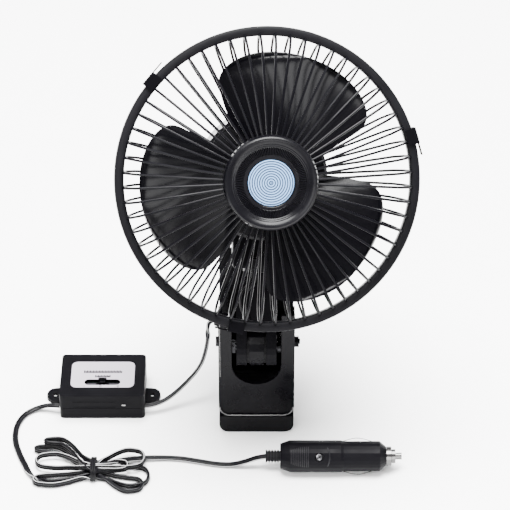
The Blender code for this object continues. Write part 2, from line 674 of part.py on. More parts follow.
def build_clips():
    """Three bent sheet-metal clips that hold the two rims together."""
    section = [(-0.6, -0.8), (0.4, -0.8), (0.8, 0), (0.8, 13.0), (0.2, 13.4), (-6.6, 13.4), (-6.6, 12.4),
               (-0.2, 12.4), (-0.2, 0.6), (-0.6, 0.4)]
    for n, degrees in enumerate(CLIP_ANGLES, start=1):
        place = clip_frame(degrees)
        clip = slab(f"guard_clip_{n}", section, -5.2, 5.2, place, "black_sheet_metal")
        bmesh_turn(clip, Matrix.Rotation(math.radians(90), 4, "X"))
        tail = box(f"clip_tail_{n}", (0.1, -13.5, 3.0), (0.8, -5.0, 9.0), place, cutter=True)
        join(clip, tail)


def build_gland_and_lead():
    """Cable gland on the front of the turning boss, and the short lead down to the neck."""
    gland = box("cable_gland", (-9.6, -63.6, 12.9), (-1.6, -55.4, 20), HEAD, "black_gloss")
    bevel(gland, 0.8)
    lead = [(-5.6, -64.8, 16.5), (-6.4, -70, 17.6), (-11.0, -76, 20.5), (-13.6, -82, 21.0),
            (-13.4, -89, 19.0),
            (-11.2, -95, 15.5), (-9.8, -98, 11.2)]
    tube("motor_lead", smooth_route(lead, 3.0), 1.3, HEAD, "black_gloss", resolution=1)


# ---------------------------------------------------------------- controller

def build_controller():
    """In-line speed controller: tray with ears, cover with a slot, board, slide switch and label."""
    left, right = BOX_X - BOX_HALF_W, BOX_X + BOX_HALF_W
    base = slab("controller_base", rounded((left, BOX_FRONT_Y), (right, BOX_BACK_Y), 2.5), 0, BOX_SPLIT,
                finish="black_plastic")
    base_room = slab("base_room", rounded((left + 2, BOX_FRONT_Y + 2), (right - 2, BOX_BACK_Y - 2), 1.0), 2,
                     20,
                     cutter=True)
    ears = slab("ears", rounded((left - 10.5, EAR_Y - 7), (right + 10.5, EAR_Y + 7), 6.4), 0, 2.6,
                cutter=True)
    join(base, ears)
    cut(base, base_room)
    for word, x in (("left", left - 4.6), ("right", right + 4.6)):
        cut(base, rod("ear_hole_" + word, (x, EAR_Y, -5), (x, EAR_Y, 8), 1.9, cutter=True))
    inlet = rod("cord_inlet", (left - 5, CORD_BOX_Y, CORD_BOX_Z), (right + 5, CORD_BOX_Y, CORD_BOX_Z),
                CORD_R + GAP,
                cutter=True, sides=10)
    cut(base, inlet)
    cover = slab("controller_cover", rounded((left, BOX_FRONT_Y), (right, BOX_BACK_Y), 2.5),
                 BOX_SPLIT + GAP, BOX_H,
                 finish="black_plastic")
    cover_room = slab("cover_room", rounded((left + 2, BOX_FRONT_Y + 2), (right - 2, BOX_BACK_Y - 2), 1.0), 0,
                      BOX_H - 2, cutter=True)
    slot_outline = rounded((BOX_X - SLOT_HALF, KNOB_Y - SLOT_HALF_W),
                           (BOX_X + SLOT_HALF, KNOB_Y + SLOT_HALF_W), 2.9, 4)
    slot = slab("cover_slot", slot_outline, 10, 30, cutter=True)
    cut(cover, cover_room, slot)
    label = slab("controller_label", rounded((BOX_X - 22.2, 8.0), (BOX_X + 22.2, 35.2), 4.0), BOX_H + 0.05,
                 BOX_H + 0.25, finish="label_film")
    cut(label, slab("label_slot", slot_outline, 10, 30, cutter=True))
    box("circuit_board", (left + 6, 7, 7.2), (right - 6, 34, 8.8), finish="board")
    frame = box("switch_frame", (BOX_X - 14.5, KNOB_Y - 4.5, 8.8 + GAP), (BOX_X + 14.5, KNOB_Y + 4.5, 16.5),
                finish="bright_steel")
    cut(frame, box("switch_window", (BOX_X - 12.5, KNOB_Y - 2.4, 12), (BOX_X + 12.5, KNOB_Y + 2.4, 30),
                   cutter=True))
    knob = box("switch_knob", (BOX_X - 2.8, KNOB_Y - 2.0, 12.4), (BOX_X + 2.8, KNOB_Y + 2.0, BOX_H + 3.2),
               finish="black_plastic")
    bevel(knob, 0.4)
    lamp_x = BOX_X + 15.1
    lamp_z, lamp_r = 12.2, 1.0
    lens = rod("indicator_lamp", (lamp_x, BOX_FRONT_Y - 0.3, lamp_z), (lamp_x, BOX_FRONT_Y + 6, lamp_z),
               lamp_r,
               finish="lamp_lens", sides=12)
    cut(cover, rod("lamp_hole", (lamp_x, -5, lamp_z), (lamp_x, 4, lamp_z), lamp_r + GAP, cutter=True,
                   sides=12))
    for word, x in (("left", left + 4.2), ("right", right - 4.2)):
        screw_z = 0.8
        post = rod("screw_post_" + word, (x, 38, 1), (x, 38, BOX_SPLIT), 2.9, cutter=True)
        join(base, post)
        cut(base, rod("screw_bore_" + word, (x, 38, -2), (x, 38, 22), 1.3 + GAP, cutter=True))
        cut(base, rod("screw_sink_" + word, (x, 38, -2), (x, 38, 3.2), 2.4, cutter=True))
        screw = rod("case_screw_" + word, (x, 38, 2.0), (x, 38, 8.6), 1.3, finish="bright_steel")
        join(screw, rod("case_screw_head_" + word, (x, 38, screw_z), (x, 38, 2.8), 2.1, cutter=True))
    return lens


# ---------------------------------------------------------------- cord

CORD_A = [(-30.8, 33.0, 60.0), (-33.0, 32.8, 58.8), (-34.0, 32.2, 53.0), (-34.2, 31.4, 45.0),
          (-35.6, 29.0, 37.0),
          (-38.4, 25.5, 28.6), (-43.0, 22.0, 22.2), (-49.4, 18.0, 16.4), (-56.0, 13.8, 11.8),
          (-63.0, 9.4, 8.6),
          (-70.0, 6.4, 6.8), (-75.0, 5.4, 6.1), (-77.9, 5.3, 6.0)]
CORD_B = [(-138.1, 5.3, 6.0), (-142.0, 5.6, 6.0), (-147.0, 6.8, 4.8), (-152.5, 7.0, 2.9), (-158.0, 4.8, 1.9),
          (-162.6, 0.4, 1.6), (-165.8, -6.0, 1.6), (-167.4, -13.5, 1.6), (-167.6, -21.5, 1.6),
          (-166.4, -29.5, 1.6), (-164.0, -37.5, 1.6), (-161.4, -44.5, 1.6), (-158.8, -50.5, 1.6),
          (-157.2, -54.6, 1.7)]
CORD_C = [(-72.0, -44.0, 2.2), (-66.0, -43.6, 1.8), (-59.0, -43.6, 1.6), (-50.0, -44.6, 1.6),
          (-41.0, -46.6, 1.6),
          (-32.0, -48.8, 1.6), (-24.0, -50.2, 1.7), (-16.0, -51.0, 2.6), (-8.0, -51.6, 5.6),
          (0.0, -52.0, 9.4),
          (5.6, -52.0, 11.2)]
HANK_OUTLINE = [(-154, -60), (-152, -67), (-146, -72), (-133, -74), (-122, -70), (-114, -66.5), (-109, -66.5),
                (-100, -73), (-91, -78.5), (-84, -78.5), (-77, -72), (-73.6, -62), (-74.6, -46), (-79, -39),
                (-88, -36.5), (-98, -42), (-108, -48.5), (-114, -48.5), (-127, -38), (-137, -29.5),
                (-145, -27.5),
                (-152, -31), (-155, -37), (-154, -50)]
HANK_TOP = 9.4
TIE_X = -111.3


def build_cords():
    """Free cord in its four stretches, and the tie round the hank."""
    tube("cord_fan_to_controller", smooth_route(CORD_A, 4.0), CORD_R, finish="black_gloss")
    tube("cord_to_hank", smooth_route(CORD_B, 4.5), CORD_R, finish="black_gloss")
    tube("cord_to_plug", smooth_route(CORD_C, 4.5), CORD_R, finish="black_gloss")
    slab("cord_hank", HANK_OUTLINE, 0.2, HANK_TOP, finish="black_gloss")
    tie_out = rounded((-68.3, 0.1), (-46.7, HANK_TOP + 1.5), 1.2, 2)
    tie = slab("hank_tie", tie_out, TIE_X - 2.2, TIE_X + 2.2, finish="black_plastic", axis="X")
    room = box("tie_room", (TIE_X - 9, -66.9, -1.0), (TIE_X + 9, -48.1, HANK_TOP + GAP), cutter=True)
    cut(tie, room)


# ---------------------------------------------------------------- plug

def build_plug():
    """Lighter plug: boot, two shells, nose ring, sprung tip, fuse, side contacts and screw."""
    boot = []
    ribs, pitch = 5, (PLUG_BACK_X - PLUG_END_X) / 5
    for n in range(ribs):
        x = PLUG_END_X + pitch * n
        boot += [(4.3, x), (4.3, x + 0.55 * pitch), (3.5, x + 0.65 * pitch), (3.5, x + 0.95 * pitch)]
    boot = [(0, PLUG_BACK_X + 3), (3.6, PLUG_BACK_X + 3)] + list(reversed(boot)) + [(0, PLUG_END_X)]
    turned("plug_boot", boot, PLUG, "rubber", steps=16)
    body = [(0, PLUG_NOSE_X), (NOSE_R, PLUG_NOSE_X), (INSERT_R, PLUG_NOSE_X - 4.3),
            (INSERT_R, PLUG_STEP_X + 2),
            (GRIP_R, PLUG_STEP_X), (GRIP_R, PLUG_BACK_X + 6.5), (8.6, PLUG_BACK_X), (0, PLUG_BACK_X)]
    room = [(0, PLUG_NOSE_X + 1), (3.6 + GAP, PLUG_NOSE_X + 1), (3.6 + GAP, 80), (7.5, 79), (7.5, 28),
            (4.0, 24),
            (4.0, PLUG_BACK_X - 1), (0, PLUG_BACK_X - 1)]
    for word, low, high in (("lower", -20, -0.15), ("upper", 0.15, 20)):
        shell = turned("plug_shell_" + word, body, PLUG, "black_plastic", steps=24)
        hollow = turned("plug_room_" + word, room, PLUG, cutter=True, steps=16)
        half = box("plug_half_" + word, (-20, low, 0), (20, high, 120), PLUG, cutter=True)
        slots = box("contact_slots_" + word, (-14.3, -2.05, 60.13), (14.3, 2.05, 79.17), PLUG, cutter=True)
        boolean(shell, half, "INTERSECT")
        cut(shell, hollow, slots)
        if word == "upper":
            cut(shell, rod("plug_screw_hole", (0, 0, PLUG_SCREW_X), (0, 20, PLUG_SCREW_X), 2.6 + GAP, PLUG,
                           cutter=True))
    ring = [(NOSE_R, 92.0), (NOSE_R, PLUG_NOSE_X + GAP), (5.3, PLUG_NOSE_X + GAP), (5.3, 92.0)]
    turned("plug_nose_ring", ring, PLUG, "bright_steel", closed=True, steps=20)
    turned("plug_tip", [(0, 99.2), (2.35, 99.2), (2.35, 95.0), (4.8, 94.8), (4.8, 92.4), (3.4, 92.2),
                        (3.4, 84),
                        (0, 84)], PLUG, "bright_steel", steps=16)
    rod("plug_fuse", (0, 0, 58), (0, 0, 80.4), 3.1, PLUG, "brass", sides=12)
    build_contacts()
    rod("plug_screw", (0, 8.0, PLUG_SCREW_X), (0, GRIP_R - 0.9, PLUG_SCREW_X), 2.6, PLUG, "bright_steel")
    helix = []
    turns, count = 5.0, 40
    for i in range(count + 1):
        angle = 2 * math.pi * turns * i / count
        helix.append((3.2 * math.cos(angle), 3.2 * math.sin(angle), 45.2 + 11.6 * i / count))
    tube("plug_spring", helix, 0.4, PLUG, "bright_steel", resolution=0)


def build_contacts():
    """Two bowed spring strips that stand out of the plug's sides."""
    for word, side in (("front", -1), ("back", 1)):
        bow = []
        count = 8
        for i in range(count + 1):
            t = i / count
            bow.append((side * (8.6 + 4.0 * math.sin(math.pi * t)), 60.8 + 17.4 * t))
        inner = [(x - side * 0.8, z) for x, z in reversed(bow)]
        outline = [(z, x) for x, z in bow + inner]
        strip = slab("plug_contact_" + word, outline, -1.4, 1.4, PLUG, "bright_steel")
        bmesh_turn(strip, Matrix(((0, 1, 0, 0), (0, 0, 1, 0), (1, 0, 0, 0), (0, 0, 0, 1))))


build_rear_shell()
build_front_shell()
build_clamp_hardware()
build_neck()
build_motor()
build_rotor()
build_guards()
build_hub_cap()
build_clips()
build_gland_and_lead()
build_controller()
build_cords()
build_plug()
bpy.context.view_layer.update()
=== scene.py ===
"""Looks of the clip-on vehicle fan: camera, studio light, fine surfaces and materials."""
import math

import bmesh
import bpy
from mathutils import Matrix, Vector
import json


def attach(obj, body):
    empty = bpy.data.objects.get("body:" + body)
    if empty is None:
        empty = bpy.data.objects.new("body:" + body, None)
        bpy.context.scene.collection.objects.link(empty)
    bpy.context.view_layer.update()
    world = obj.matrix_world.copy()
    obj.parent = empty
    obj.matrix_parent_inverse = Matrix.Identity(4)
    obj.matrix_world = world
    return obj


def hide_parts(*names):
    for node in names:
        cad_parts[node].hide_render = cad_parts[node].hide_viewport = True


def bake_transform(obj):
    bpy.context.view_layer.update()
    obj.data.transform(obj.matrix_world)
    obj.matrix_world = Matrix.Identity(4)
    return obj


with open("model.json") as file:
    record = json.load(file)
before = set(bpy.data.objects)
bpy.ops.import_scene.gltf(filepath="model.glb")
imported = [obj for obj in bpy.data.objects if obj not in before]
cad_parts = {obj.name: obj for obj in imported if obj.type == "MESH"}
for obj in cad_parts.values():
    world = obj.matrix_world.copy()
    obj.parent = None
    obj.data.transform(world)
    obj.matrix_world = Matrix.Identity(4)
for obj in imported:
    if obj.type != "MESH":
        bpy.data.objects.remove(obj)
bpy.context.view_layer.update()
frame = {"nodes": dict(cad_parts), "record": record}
MM = 0.001

# Frames, in millimetres, worked out as the CAD part does
LEAN = math.radians(33.5)
PAN = math.radians(3.5)
NECK_LENGTH = 118.0
TURN_AXIS_X = 3.2
RIGHT = Vector((1.0, 0.0, 0.0))
NECK_UP = Vector((0.0, math.sin(LEAN), math.cos(LEAN)))
NECK_OUT = Vector((0.0, -math.cos(LEAN), math.sin(LEAN)))
HEAD_OUT = NECK_OUT * math.cos(PAN) + RIGHT * math.sin(PAN)
HEAD_RIGHT = NECK_UP.cross(HEAD_OUT)
TILT_POINT = Vector((0.0, -6.0, 70.0))
HEAD_POINT = TILT_POINT + NECK_UP * NECK_LENGTH + RIGHT * TURN_AXIS_X


def frame_matrix(origin, x_axis, y_axis, z_axis):
    """Matrix of a local frame whose origin is given in millimetres."""
    matrix = Matrix((x_axis, y_axis, z_axis)).transposed().to_4x4()
    matrix.translation = Vector(origin) * MM
    return matrix


HEAD = frame_matrix(HEAD_POINT, HEAD_RIGHT, NECK_UP, HEAD_OUT)
ROLL = math.radians(51.5)
PLUG = frame_matrix((0.0, -52.0, 11.2), (0, math.cos(ROLL), math.sin(ROLL)),
                    (0, -math.sin(ROLL), math.cos(ROLL)), (1, 0, 0))
WORLD = Matrix.Identity(4)

# Head sizes
RIM_R = 100.2
RIM_WIDTH = 6.4
RIM_PLANE = 65.0
WIRE_COUNT = 60
WIRE_R = 0.84
CAP_R = 30.6
CAP_FRONT = 103.0
BLADE_TIP_R = 84.0
BLADE_COUNT = 3

# Cord: flat twin lead
CORD_THICK = 2.1


# ---------------------------------------------------------------- materials

def shader_material(name, colour, roughness, metallic=0.0, coat=0.0, coat_roughness=0.1, specular=0.5):
    """Principled material whose plain numbers sit on the shader's own sockets."""
    mat = bpy.data.materials.new(name)
    mat.use_nodes = True
    bsdf = mat.node_tree.nodes["Principled BSDF"]
    bsdf.inputs["Base Color"].default_value = (*colour, 1.0)
    bsdf.inputs["Roughness"].default_value = roughness
    bsdf.inputs["Metallic"].default_value = metallic
    bsdf.inputs["Coat Weight"].default_value = coat
    bsdf.inputs["Coat Roughness"].default_value = coat_roughness
    bsdf.inputs["Specular IOR Level"].default_value = specular
    return mat


def add_texture(mat, scale, detail=4.0, colour_shift=0.25, rough_shift=0.08, bump=0.1, distance=0.00005,
                stretch=None):
    """Vary a material's colour, roughness and height with noise in the object's own space."""
    tree = mat.node_tree
    nodes, links = tree.nodes, tree.links
    bsdf = nodes["Principled BSDF"]
    coords = nodes.new("ShaderNodeTexCoord")
    mapping = nodes.new("ShaderNodeMapping")
    if stretch:
        mapping.inputs["Scale"].default_value = stretch
    links.new(coords.outputs["Object"], mapping.inputs["Vector"])
    fine = nodes.new("ShaderNodeTexNoise")
    fine.inputs["Scale"].default_value = scale
    fine.inputs["Detail"].default_value = detail
    links.new(mapping.outputs["Vector"], fine.inputs["Vector"])
    broad = nodes.new("ShaderNodeTexNoise")
    broad.inputs["Scale"].default_value = scale * 0.03
    broad.inputs["Detail"].default_value = 3.0
    links.new(mapping.outputs["Vector"], broad.inputs["Vector"])
    base = bsdf.inputs["Base Color"].default_value[:]
    mix = nodes.new("ShaderNodeMix")
    mix.data_type = "RGBA"
    mix.inputs["A"].default_value = tuple(c * (1 - colour_shift) for c in base[:3]) + (1.0,)
    mix.inputs["B"].default_value = tuple(min(1.0, c * (1 + colour_shift)) for c in base[:3]) + (1.0,)
    links.new(broad.outputs["Fac"], mix.inputs["Factor"])
    links.new(mix.outputs["Result"], bsdf.inputs["Base Color"])
    level = bsdf.inputs["Roughness"].default_value
    rough = nodes.new("ShaderNodeMapRange")
    rough.inputs["From Min"].default_value = 0.3
    rough.inputs["From Max"].default_value = 0.7
    rough.inputs["To Min"].default_value = max(0.02, level - rough_shift)
    rough.inputs["To Max"].default_value = min(1.0, level + rough_shift)
    links.new(broad.outputs["Fac"], rough.inputs["Value"])
    links.new(rough.outputs["Result"], bsdf.inputs["Roughness"])
    if bump:
        lift = nodes.new("ShaderNodeBump")
        lift.inputs["Strength"].default_value = bump
        lift.inputs["Distance"].default_value = distance
        links.new(fine.outputs["Fac"], lift.inputs["Height"])
        links.new(lift.outputs["Normal"], bsdf.inputs["Normal"])
    return mat


def plastic(name, colour, roughness, grain=2600.0, lift=0.00004, **extra):
    """Fine-grained moulded plastic."""
    return add_texture(shader_material(name, colour, roughness, **extra), grain, bump=0.25, distance=lift)


def metal(name, colour, roughness, grain=700.0, **extra):
    """Plated or drawn metal with faint wear."""
    return add_texture(shader_material(name, colour, roughness, metallic=1.0, **extra), grain, bump=0.06,
                       colour_shift=0.08)


CLAMP_BLACK = plastic("clamp_black", (0.0014, 0.0013, 0.0019), 0.30, specular=0.05)
HEAD_BLACK = plastic("head_black", (0.0016, 0.0015, 0.0022), 0.30, specular=0.10)
CASE_BLACK = plastic("case_black", (0.0013, 0.0012, 0.0018), 0.45, specular=0.035)
PLUG_BLACK = plastic("plug_black", (0.0018, 0.0017, 0.0024), 0.42, specular=0.035)
WIRE_BLACK = add_texture(shader_material("wire_black", (0.0016, 0.0015, 0.0022), 0.30, specular=0.065), 900.0,
                         bump=0.05)
RIM_BLACK = plastic("rim_black", (0.0028, 0.0027, 0.0034), 0.45, specular=0.05)
BLADE_BLACK = add_texture(shader_material("blade_gloss", (0.0014, 0.0013, 0.0019), 0.20, specular=0.075),
                          160.0, bump=0.012, distance=0.0001, rough_shift=0.03)
RUBBER = plastic("rubber_black", (0.0022, 0.0021, 0.0027), 0.55, grain=1800.0, specular=0.08)
CORD_BLACK = plastic("cord_black", (0.0020, 0.0019, 0.0026), 0.34, specular=0.10)
CORD_WHITE = plastic("cord_stripe", (0.34, 0.34, 0.34), 0.42)
STEEL = metal("bright_steel", (0.30, 0.30, 0.30), 0.24)
DARK_STEEL = metal("black_zinc", (0.012, 0.012, 0.013), 0.28)
SCREW_STEEL = metal("screw_steel", (0.10, 0.10, 0.105), 0.22)
NICKEL = metal("nickel_plate", (0.075, 0.074, 0.073), 0.14, grain=500.0)
CLIP_METAL = add_texture(shader_material("clip_metal", (0.0016, 0.0015, 0.0020), 0.60, specular=0.01), 600.0,
                         bump=0.08)
CONTACT_STEEL = metal("contact_steel", (0.10, 0.10, 0.10), 0.18)
GRIP_BLACK = plastic("grip_black", (0.0060, 0.0058, 0.0070), 0.40, specular=0.10)
FORK_BLACK = plastic("fork_black", (0.0014, 0.0013, 0.0019), 0.40, specular=0.03)
# Lighter, very glossy black for the beads that paint highlight lines along the clamp's edges
HIGHLIGHT_BEAD_GLOSS = plastic("painted_highlight_gloss", (0.02, 0.02, 0.02), 0.18, specular=0.9)
COPPER = metal("copper_wire", (0.72, 0.33, 0.18), 0.3, grain=2000.0)
BRASS = metal("brass", (0.75, 0.55, 0.22), 0.3, grain=800.0)
FERRITE = plastic("ferrite", (0.06, 0.06, 0.07), 0.6)
BOARD = plastic("board_green", (0.03, 0.16, 0.06), 0.45)
BADGE_BLUE = add_texture(shader_material("badge_blue", (0.125, 0.225, 0.40), 0.35, specular=0.2),
                         300.0, bump=0.03, colour_shift=0.06)
BADGE_LINE = add_texture(shader_material("badge_line", (0.0075, 0.014, 0.028), 0.35, specular=0.2),
                         300.0, bump=0.03, colour_shift=0.10)
LABEL = add_texture(shader_material("label_film", (0.30, 0.275, 0.31), 0.38, specular=0.15),
                    1500.0, bump=0.04, colour_shift=0.03)
LABEL_INK = add_texture(shader_material("label_ink", (0.003, 0.003, 0.004), 0.9, specular=0.0),
                        1500.0, bump=0.04)
SLIDE_GREY = plastic("slide_grey", (0.030, 0.029, 0.034), 0.45, specular=0.1)
# Light grey lamp window: partly the lens's own tone, partly a painted glint drawn as a small flat dash
LENS_WITH_PAINTED_GLINT = add_texture(shader_material("lamp_lens", (0.20, 0.20, 0.20), 0.15, coat=0.6), 900.0, bump=0.03,
                   colour_shift=0.03)


# ---------------------------------------------------------------- mesh helpers

def link(name, mesh, matrix=WORLD, materials=()):
    """Link a mesh as a piece, with its transform put into its points."""
    mesh.transform(matrix)
    obj = bpy.data.objects.new(name, mesh)
    bpy.context.scene.collection.objects.link(obj)
    for mat in materials:
        mesh.materials.append(mat)
    return obj


def shade(obj, angle=35.0):
    """Smooth the shading, but keep edges sharper than the angle crisp."""
    obj.data.shade_smooth()
    obj.data.set_sharp_from_angle(angle=math.radians(angle))
    return obj


def mesh_of(name, bm):
    """Mesh data from a bmesh, with its faces turned outwards."""
    bmesh.ops.remove_doubles(bm, verts=bm.verts, dist=1e-7)
    bmesh.ops.recalc_face_normals(bm, faces=bm.faces)
    mesh = bpy.data.meshes.new(name)
    bm.to_mesh(mesh)
    bm.free()
    return mesh


def soften(obj, width, segments=3, angle=30.0):
    """Round an object's sharp edges."""
    mod = obj.modifiers.new("soft_edges", "BEVEL")
    mod.width = width * MM
    mod.segments = segments
    mod.limit_method = "ANGLE"
    mod.angle_limit = math.radians(angle)
    mod.harden_normals = True
    return obj


def turned_bm(profile, steps, closed=False, materials=None, bm=None):
    """Turn an (r, z) profile about Z; materials gives one slot index per profile segment."""
    bm = bm or bmesh.new()
    rings = []
    for r, z in profile:
        if r < 1e-6:
            rings.append([bm.verts.new((0, 0, z * MM))])
            continue
        ring = []
        for k in range(steps):
            angle = 2 * math.pi * k / steps
            ring.append(bm.verts.new((r * math.cos(angle) * MM, r * math.sin(angle) * MM, z * MM)))
        rings.append(ring)
    pairs = list(zip(rings, rings[1:]))
    if closed:
        pairs.append((rings[-1], rings[0]))
    for n, (a, b) in enumerate(pairs):
        for k in range(steps):
            m = (k + 1) % steps
            if len(a) == 1 and len(b) == 1:
                continue
            if len(a) == 1:
                face = bm.faces.new((a[0], b[k], b[m]))
            elif len(b) == 1:
                face = bm.faces.new((a[k], b[0], a[m]))
            else:
                face = bm.faces.new((a[k], b[k], b[m], a[m]))
            if materials:
                face.material_index = materials[n]
    return bm


def turned(name, profile, steps, matrix, materials, closed=False, slots=None, angle=32.0):
    """Object of revolution round its frame's Z."""
    mesh = mesh_of(name, turned_bm(profile, steps, closed, slots))
    return shade(link(name, mesh, matrix, materials), angle)


def round_path(points, per_corner=5, radius=None):
    """Round the corners of a polyline with short arcs."""
    pts = [Vector(p) for p in points]
    result = [pts[0]]
    for before, corner, after in zip(pts, pts[1:], pts[2:]):
        first, second = before - corner, after - corner
        reach = min(radius or 4.0, first.length * 0.45, second.length * 0.45)
        a = corner + first.normalized() * reach
        b = corner + second.normalized() * reach
        for k in range(per_corner + 1):
            t = k / per_corner
            result.append(a * (1 - t) ** 2 + corner * 2 * t * (1 - t) + b * t * t)
    result.append(pts[-1])
    return result


def sweep_bm(bm, path, radius, sides=8, slot=0):
    """Round tube along a path of points in millimetres, capped, without twist."""
    rings = []
    tangents = path_tangents(path)
    guide = Vector((0, 0, 1)) if abs(tangents[0].z) < 0.9 else Vector((1, 0, 0))
    for point, tangent in zip(path, tangents):
        guide = (guide - tangent * guide.dot(tangent)).normalized()
        other = tangent.cross(guide)
        ring = []
        for k in range(sides):
            angle = 2 * math.pi * k / sides
            out = guide * radius * math.cos(angle) + other * radius * math.sin(angle)
            ring.append(bm.verts.new((point + out) * MM))
        rings.append(ring)
    for a, b in zip(rings, rings[1:]):
        for k in range(sides):
            m = (k + 1) % sides
            bm.faces.new((a[k], a[m], b[m], b[k])).material_index = slot
    bm.faces.new(list(reversed(rings[0]))).material_index = slot
    bm.faces.new(rings[-1]).material_index = slot


def path_tangents(path):
    """Unit direction at each point of a path."""
    result = []
    for n in range(len(path)):
        a, b = path[max(0, n - 1)], path[min(len(path) - 1, n + 1)]
        result.append((b - a).normalized())
    return result


def smooth_route(points, spacing):
    """Evenly spaced points on a smooth curve, and how far each is along the route's own points."""
    pts = [Vector(p) for p in points]
    pts = [2 * pts[0] - pts[1]] + pts + [2 * pts[-1] - pts[-2]]
    steps = 12
    fine = []
    for i in range(1, len(pts) - 2):
        a, b, c, d = pts[i - 1:i + 3]
        for k in range(steps):
            t = k / steps
            fine.append(0.5 * (2 * b + (c - a) * t + (2 * a - 5 * b + 4 * c - d) * t * t
                               + (3 * b - 3 * c + d - a) * t ** 3))
    fine.append(pts[-2])
    lengths = [0.0]
    for first, second in zip(fine, fine[1:]):
        lengths.append(lengths[-1] + (second - first).length)
    count = max(2, round(lengths[-1] / spacing))
    path, places, seg = [], [], 0
    for n in range(count + 1):
        want = lengths[-1] * n / count
        while seg < len(lengths) - 2 and lengths[seg + 1] < want:
            seg += 1
        part = min(1.0, (want - lengths[seg]) / max(1e-9, lengths[seg + 1] - lengths[seg]))
        path.append(fine[seg].lerp(fine[seg + 1], part))
        places.append((seg + part) / steps)
    return path, places


def at_angle(radius, degrees, z):
    """Point at a radius, an angle in degrees and a height."""
    angle = math.radians(degrees)
    return Vector((radius * math.cos(angle), radius * math.sin(angle), z))


def ride(obj, body, *replaced, slot=None):
    """Ride on a body and stand for CAD nodes; the slot is not used."""
    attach(obj, body)
    if replaced:
        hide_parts(*replaced)
    return obj


# ---------------------------------------------------------------- camera, light and floor

def build_camera():
    """Camera looking along +Y from 38.5 degrees up, at the height of the fan's middle."""
    elevation = math.radians(38.5)
    aim = Vector((-1.0, 0.0, 145.4)) * MM
    away = Vector((0.0, -math.cos(elevation), math.sin(elevation)))
    data = bpy.data.cameras.new("camera")
    data.lens = 178.6
    data.sensor_width = 36.0
    data.clip_end = 20.0
    camera = bpy.data.objects.new("camera", data)
    camera.location = aim + away * 1.686
    camera.rotation_euler = (math.radians(90.0 - 38.5), 0.0, 0.0)
    bpy.context.scene.collection.objects.link(camera)
    bpy.context.scene.camera = camera


def area_light(name, place, aim, size, power):
    """Round soft light at a place in metres, facing its aim."""
    data = bpy.data.lights.new(name, "AREA")
    data.shape = "DISK"
    data.size = size
    data.energy = power
    lamp = bpy.data.objects.new(name, data)
    lamp.location = place
    lamp.rotation_euler = (Vector(aim) - Vector(place)).to_track_quat("-Z", "Y").to_euler()
    bpy.context.scene.collection.objects.link(lamp)


def build_studio():
    """White floor, even white surroundings and soft lights that draw thin highlights."""
    bm = bmesh.new()
    bmesh.ops.create_grid(bm, x_segments=1, y_segments=1, size=4.0)
    floor_finish = add_texture(shader_material("floor_white", (0.96, 0.96, 0.96), 0.9, specular=0.05), 40.0,
                               colour_shift=0.004, bump=0.0)
    floor = link("floor", mesh_of("floor", bm), Matrix.Translation((0, 0, -0.0002)), [floor_finish])
    world = bpy.data.worlds.new("studio")
    world.use_nodes = True
    world.node_tree.nodes["Background"].inputs["Color"].default_value = (1.0, 1.0, 1.0, 1.0)
    world.node_tree.nodes["Background"].inputs["Strength"].default_value = 1.0
    bpy.context.scene.world = world
    area_light("overhead", (0.0, 0.1, 1.9), (0, 0, 0), 1.5, 360.0)
    area_light("upper_panel", (-0.42, -1.15, 1.23), (0, 0, 0.2), 0.6, 17.0)
    area_light("low_panel", (0.18, -1.47, 0.41), (0, 0, 0.2), 0.45, 9.0)
    area_light("left_edge", (-1.1, 0.1, 0.8), (0, 0, 0.1), 0.2, 3.0)


# ---------------------------------------------------------------- cords

CORD_A = [(-30.8, 33.0, 60.0), (-33.0, 32.8, 58.8), (-34.0, 32.2, 53.0), (-34.2, 31.4, 45.0),
          (-35.6, 29.0, 37.0), (-38.4, 25.5, 28.6), (-43.0, 22.0, 22.2), (-49.4, 18.0, 16.4),
          (-56.0, 13.8, 11.8), (-63.0, 9.4, 8.6), (-70.0, 6.4, 6.8), (-75.0, 5.4, 6.1), (-77.9, 5.3, 6.0)]
CORD_B = [(-138.1, 5.3, 6.0), (-142.0, 5.6, 6.0), (-147.0, 6.8, 4.8), (-152.5, 7.0, 2.9), (-158.0, 4.8, 1.9),
          (-162.6, 0.4, 1.6), (-165.8, -6.0, 1.6), (-167.4, -13.5, 1.6), (-167.6, -21.5, 1.6),
          (-166.4, -29.5, 1.6), (-164.0, -37.5, 1.6), (-161.4, -44.5, 1.6), (-158.8, -50.5, 1.6),
          (-157.2, -54.6, 1.7)]
CORD_C = [(-72.0, -44.0, 2.2), (-66.0, -43.6, 1.8), (-59.0, -43.6, 1.6), (-50.0, -44.6, 1.6),
          (-41.0, -46.6, 1.6), (-32.0, -48.8, 1.6), (-24.0, -50.2, 1.7), (-16.0, -51.0, 2.6),
          (-8.0, -51.6, 5.6), (0.0, -52.0, 9.4), (7.2, -52.0, 11.2)]
UP = Vector((0, 0, 1))


def twin_profile():
    """Outline of a flat twin cord as (across, through) pairs, with its stripe's place."""
    core = CORD_THICK / 2
    steps = 12
    edge = []
    for k in range(-steps, steps + 1):
        angle = math.radians(148.0 * k / steps)
        edge.append((core + core * math.cos(angle), core * math.sin(angle)))
    outline = edge + [(-x, -y) for x, y in edge]
    stripe = (steps - 1, steps)
    return outline, stripe


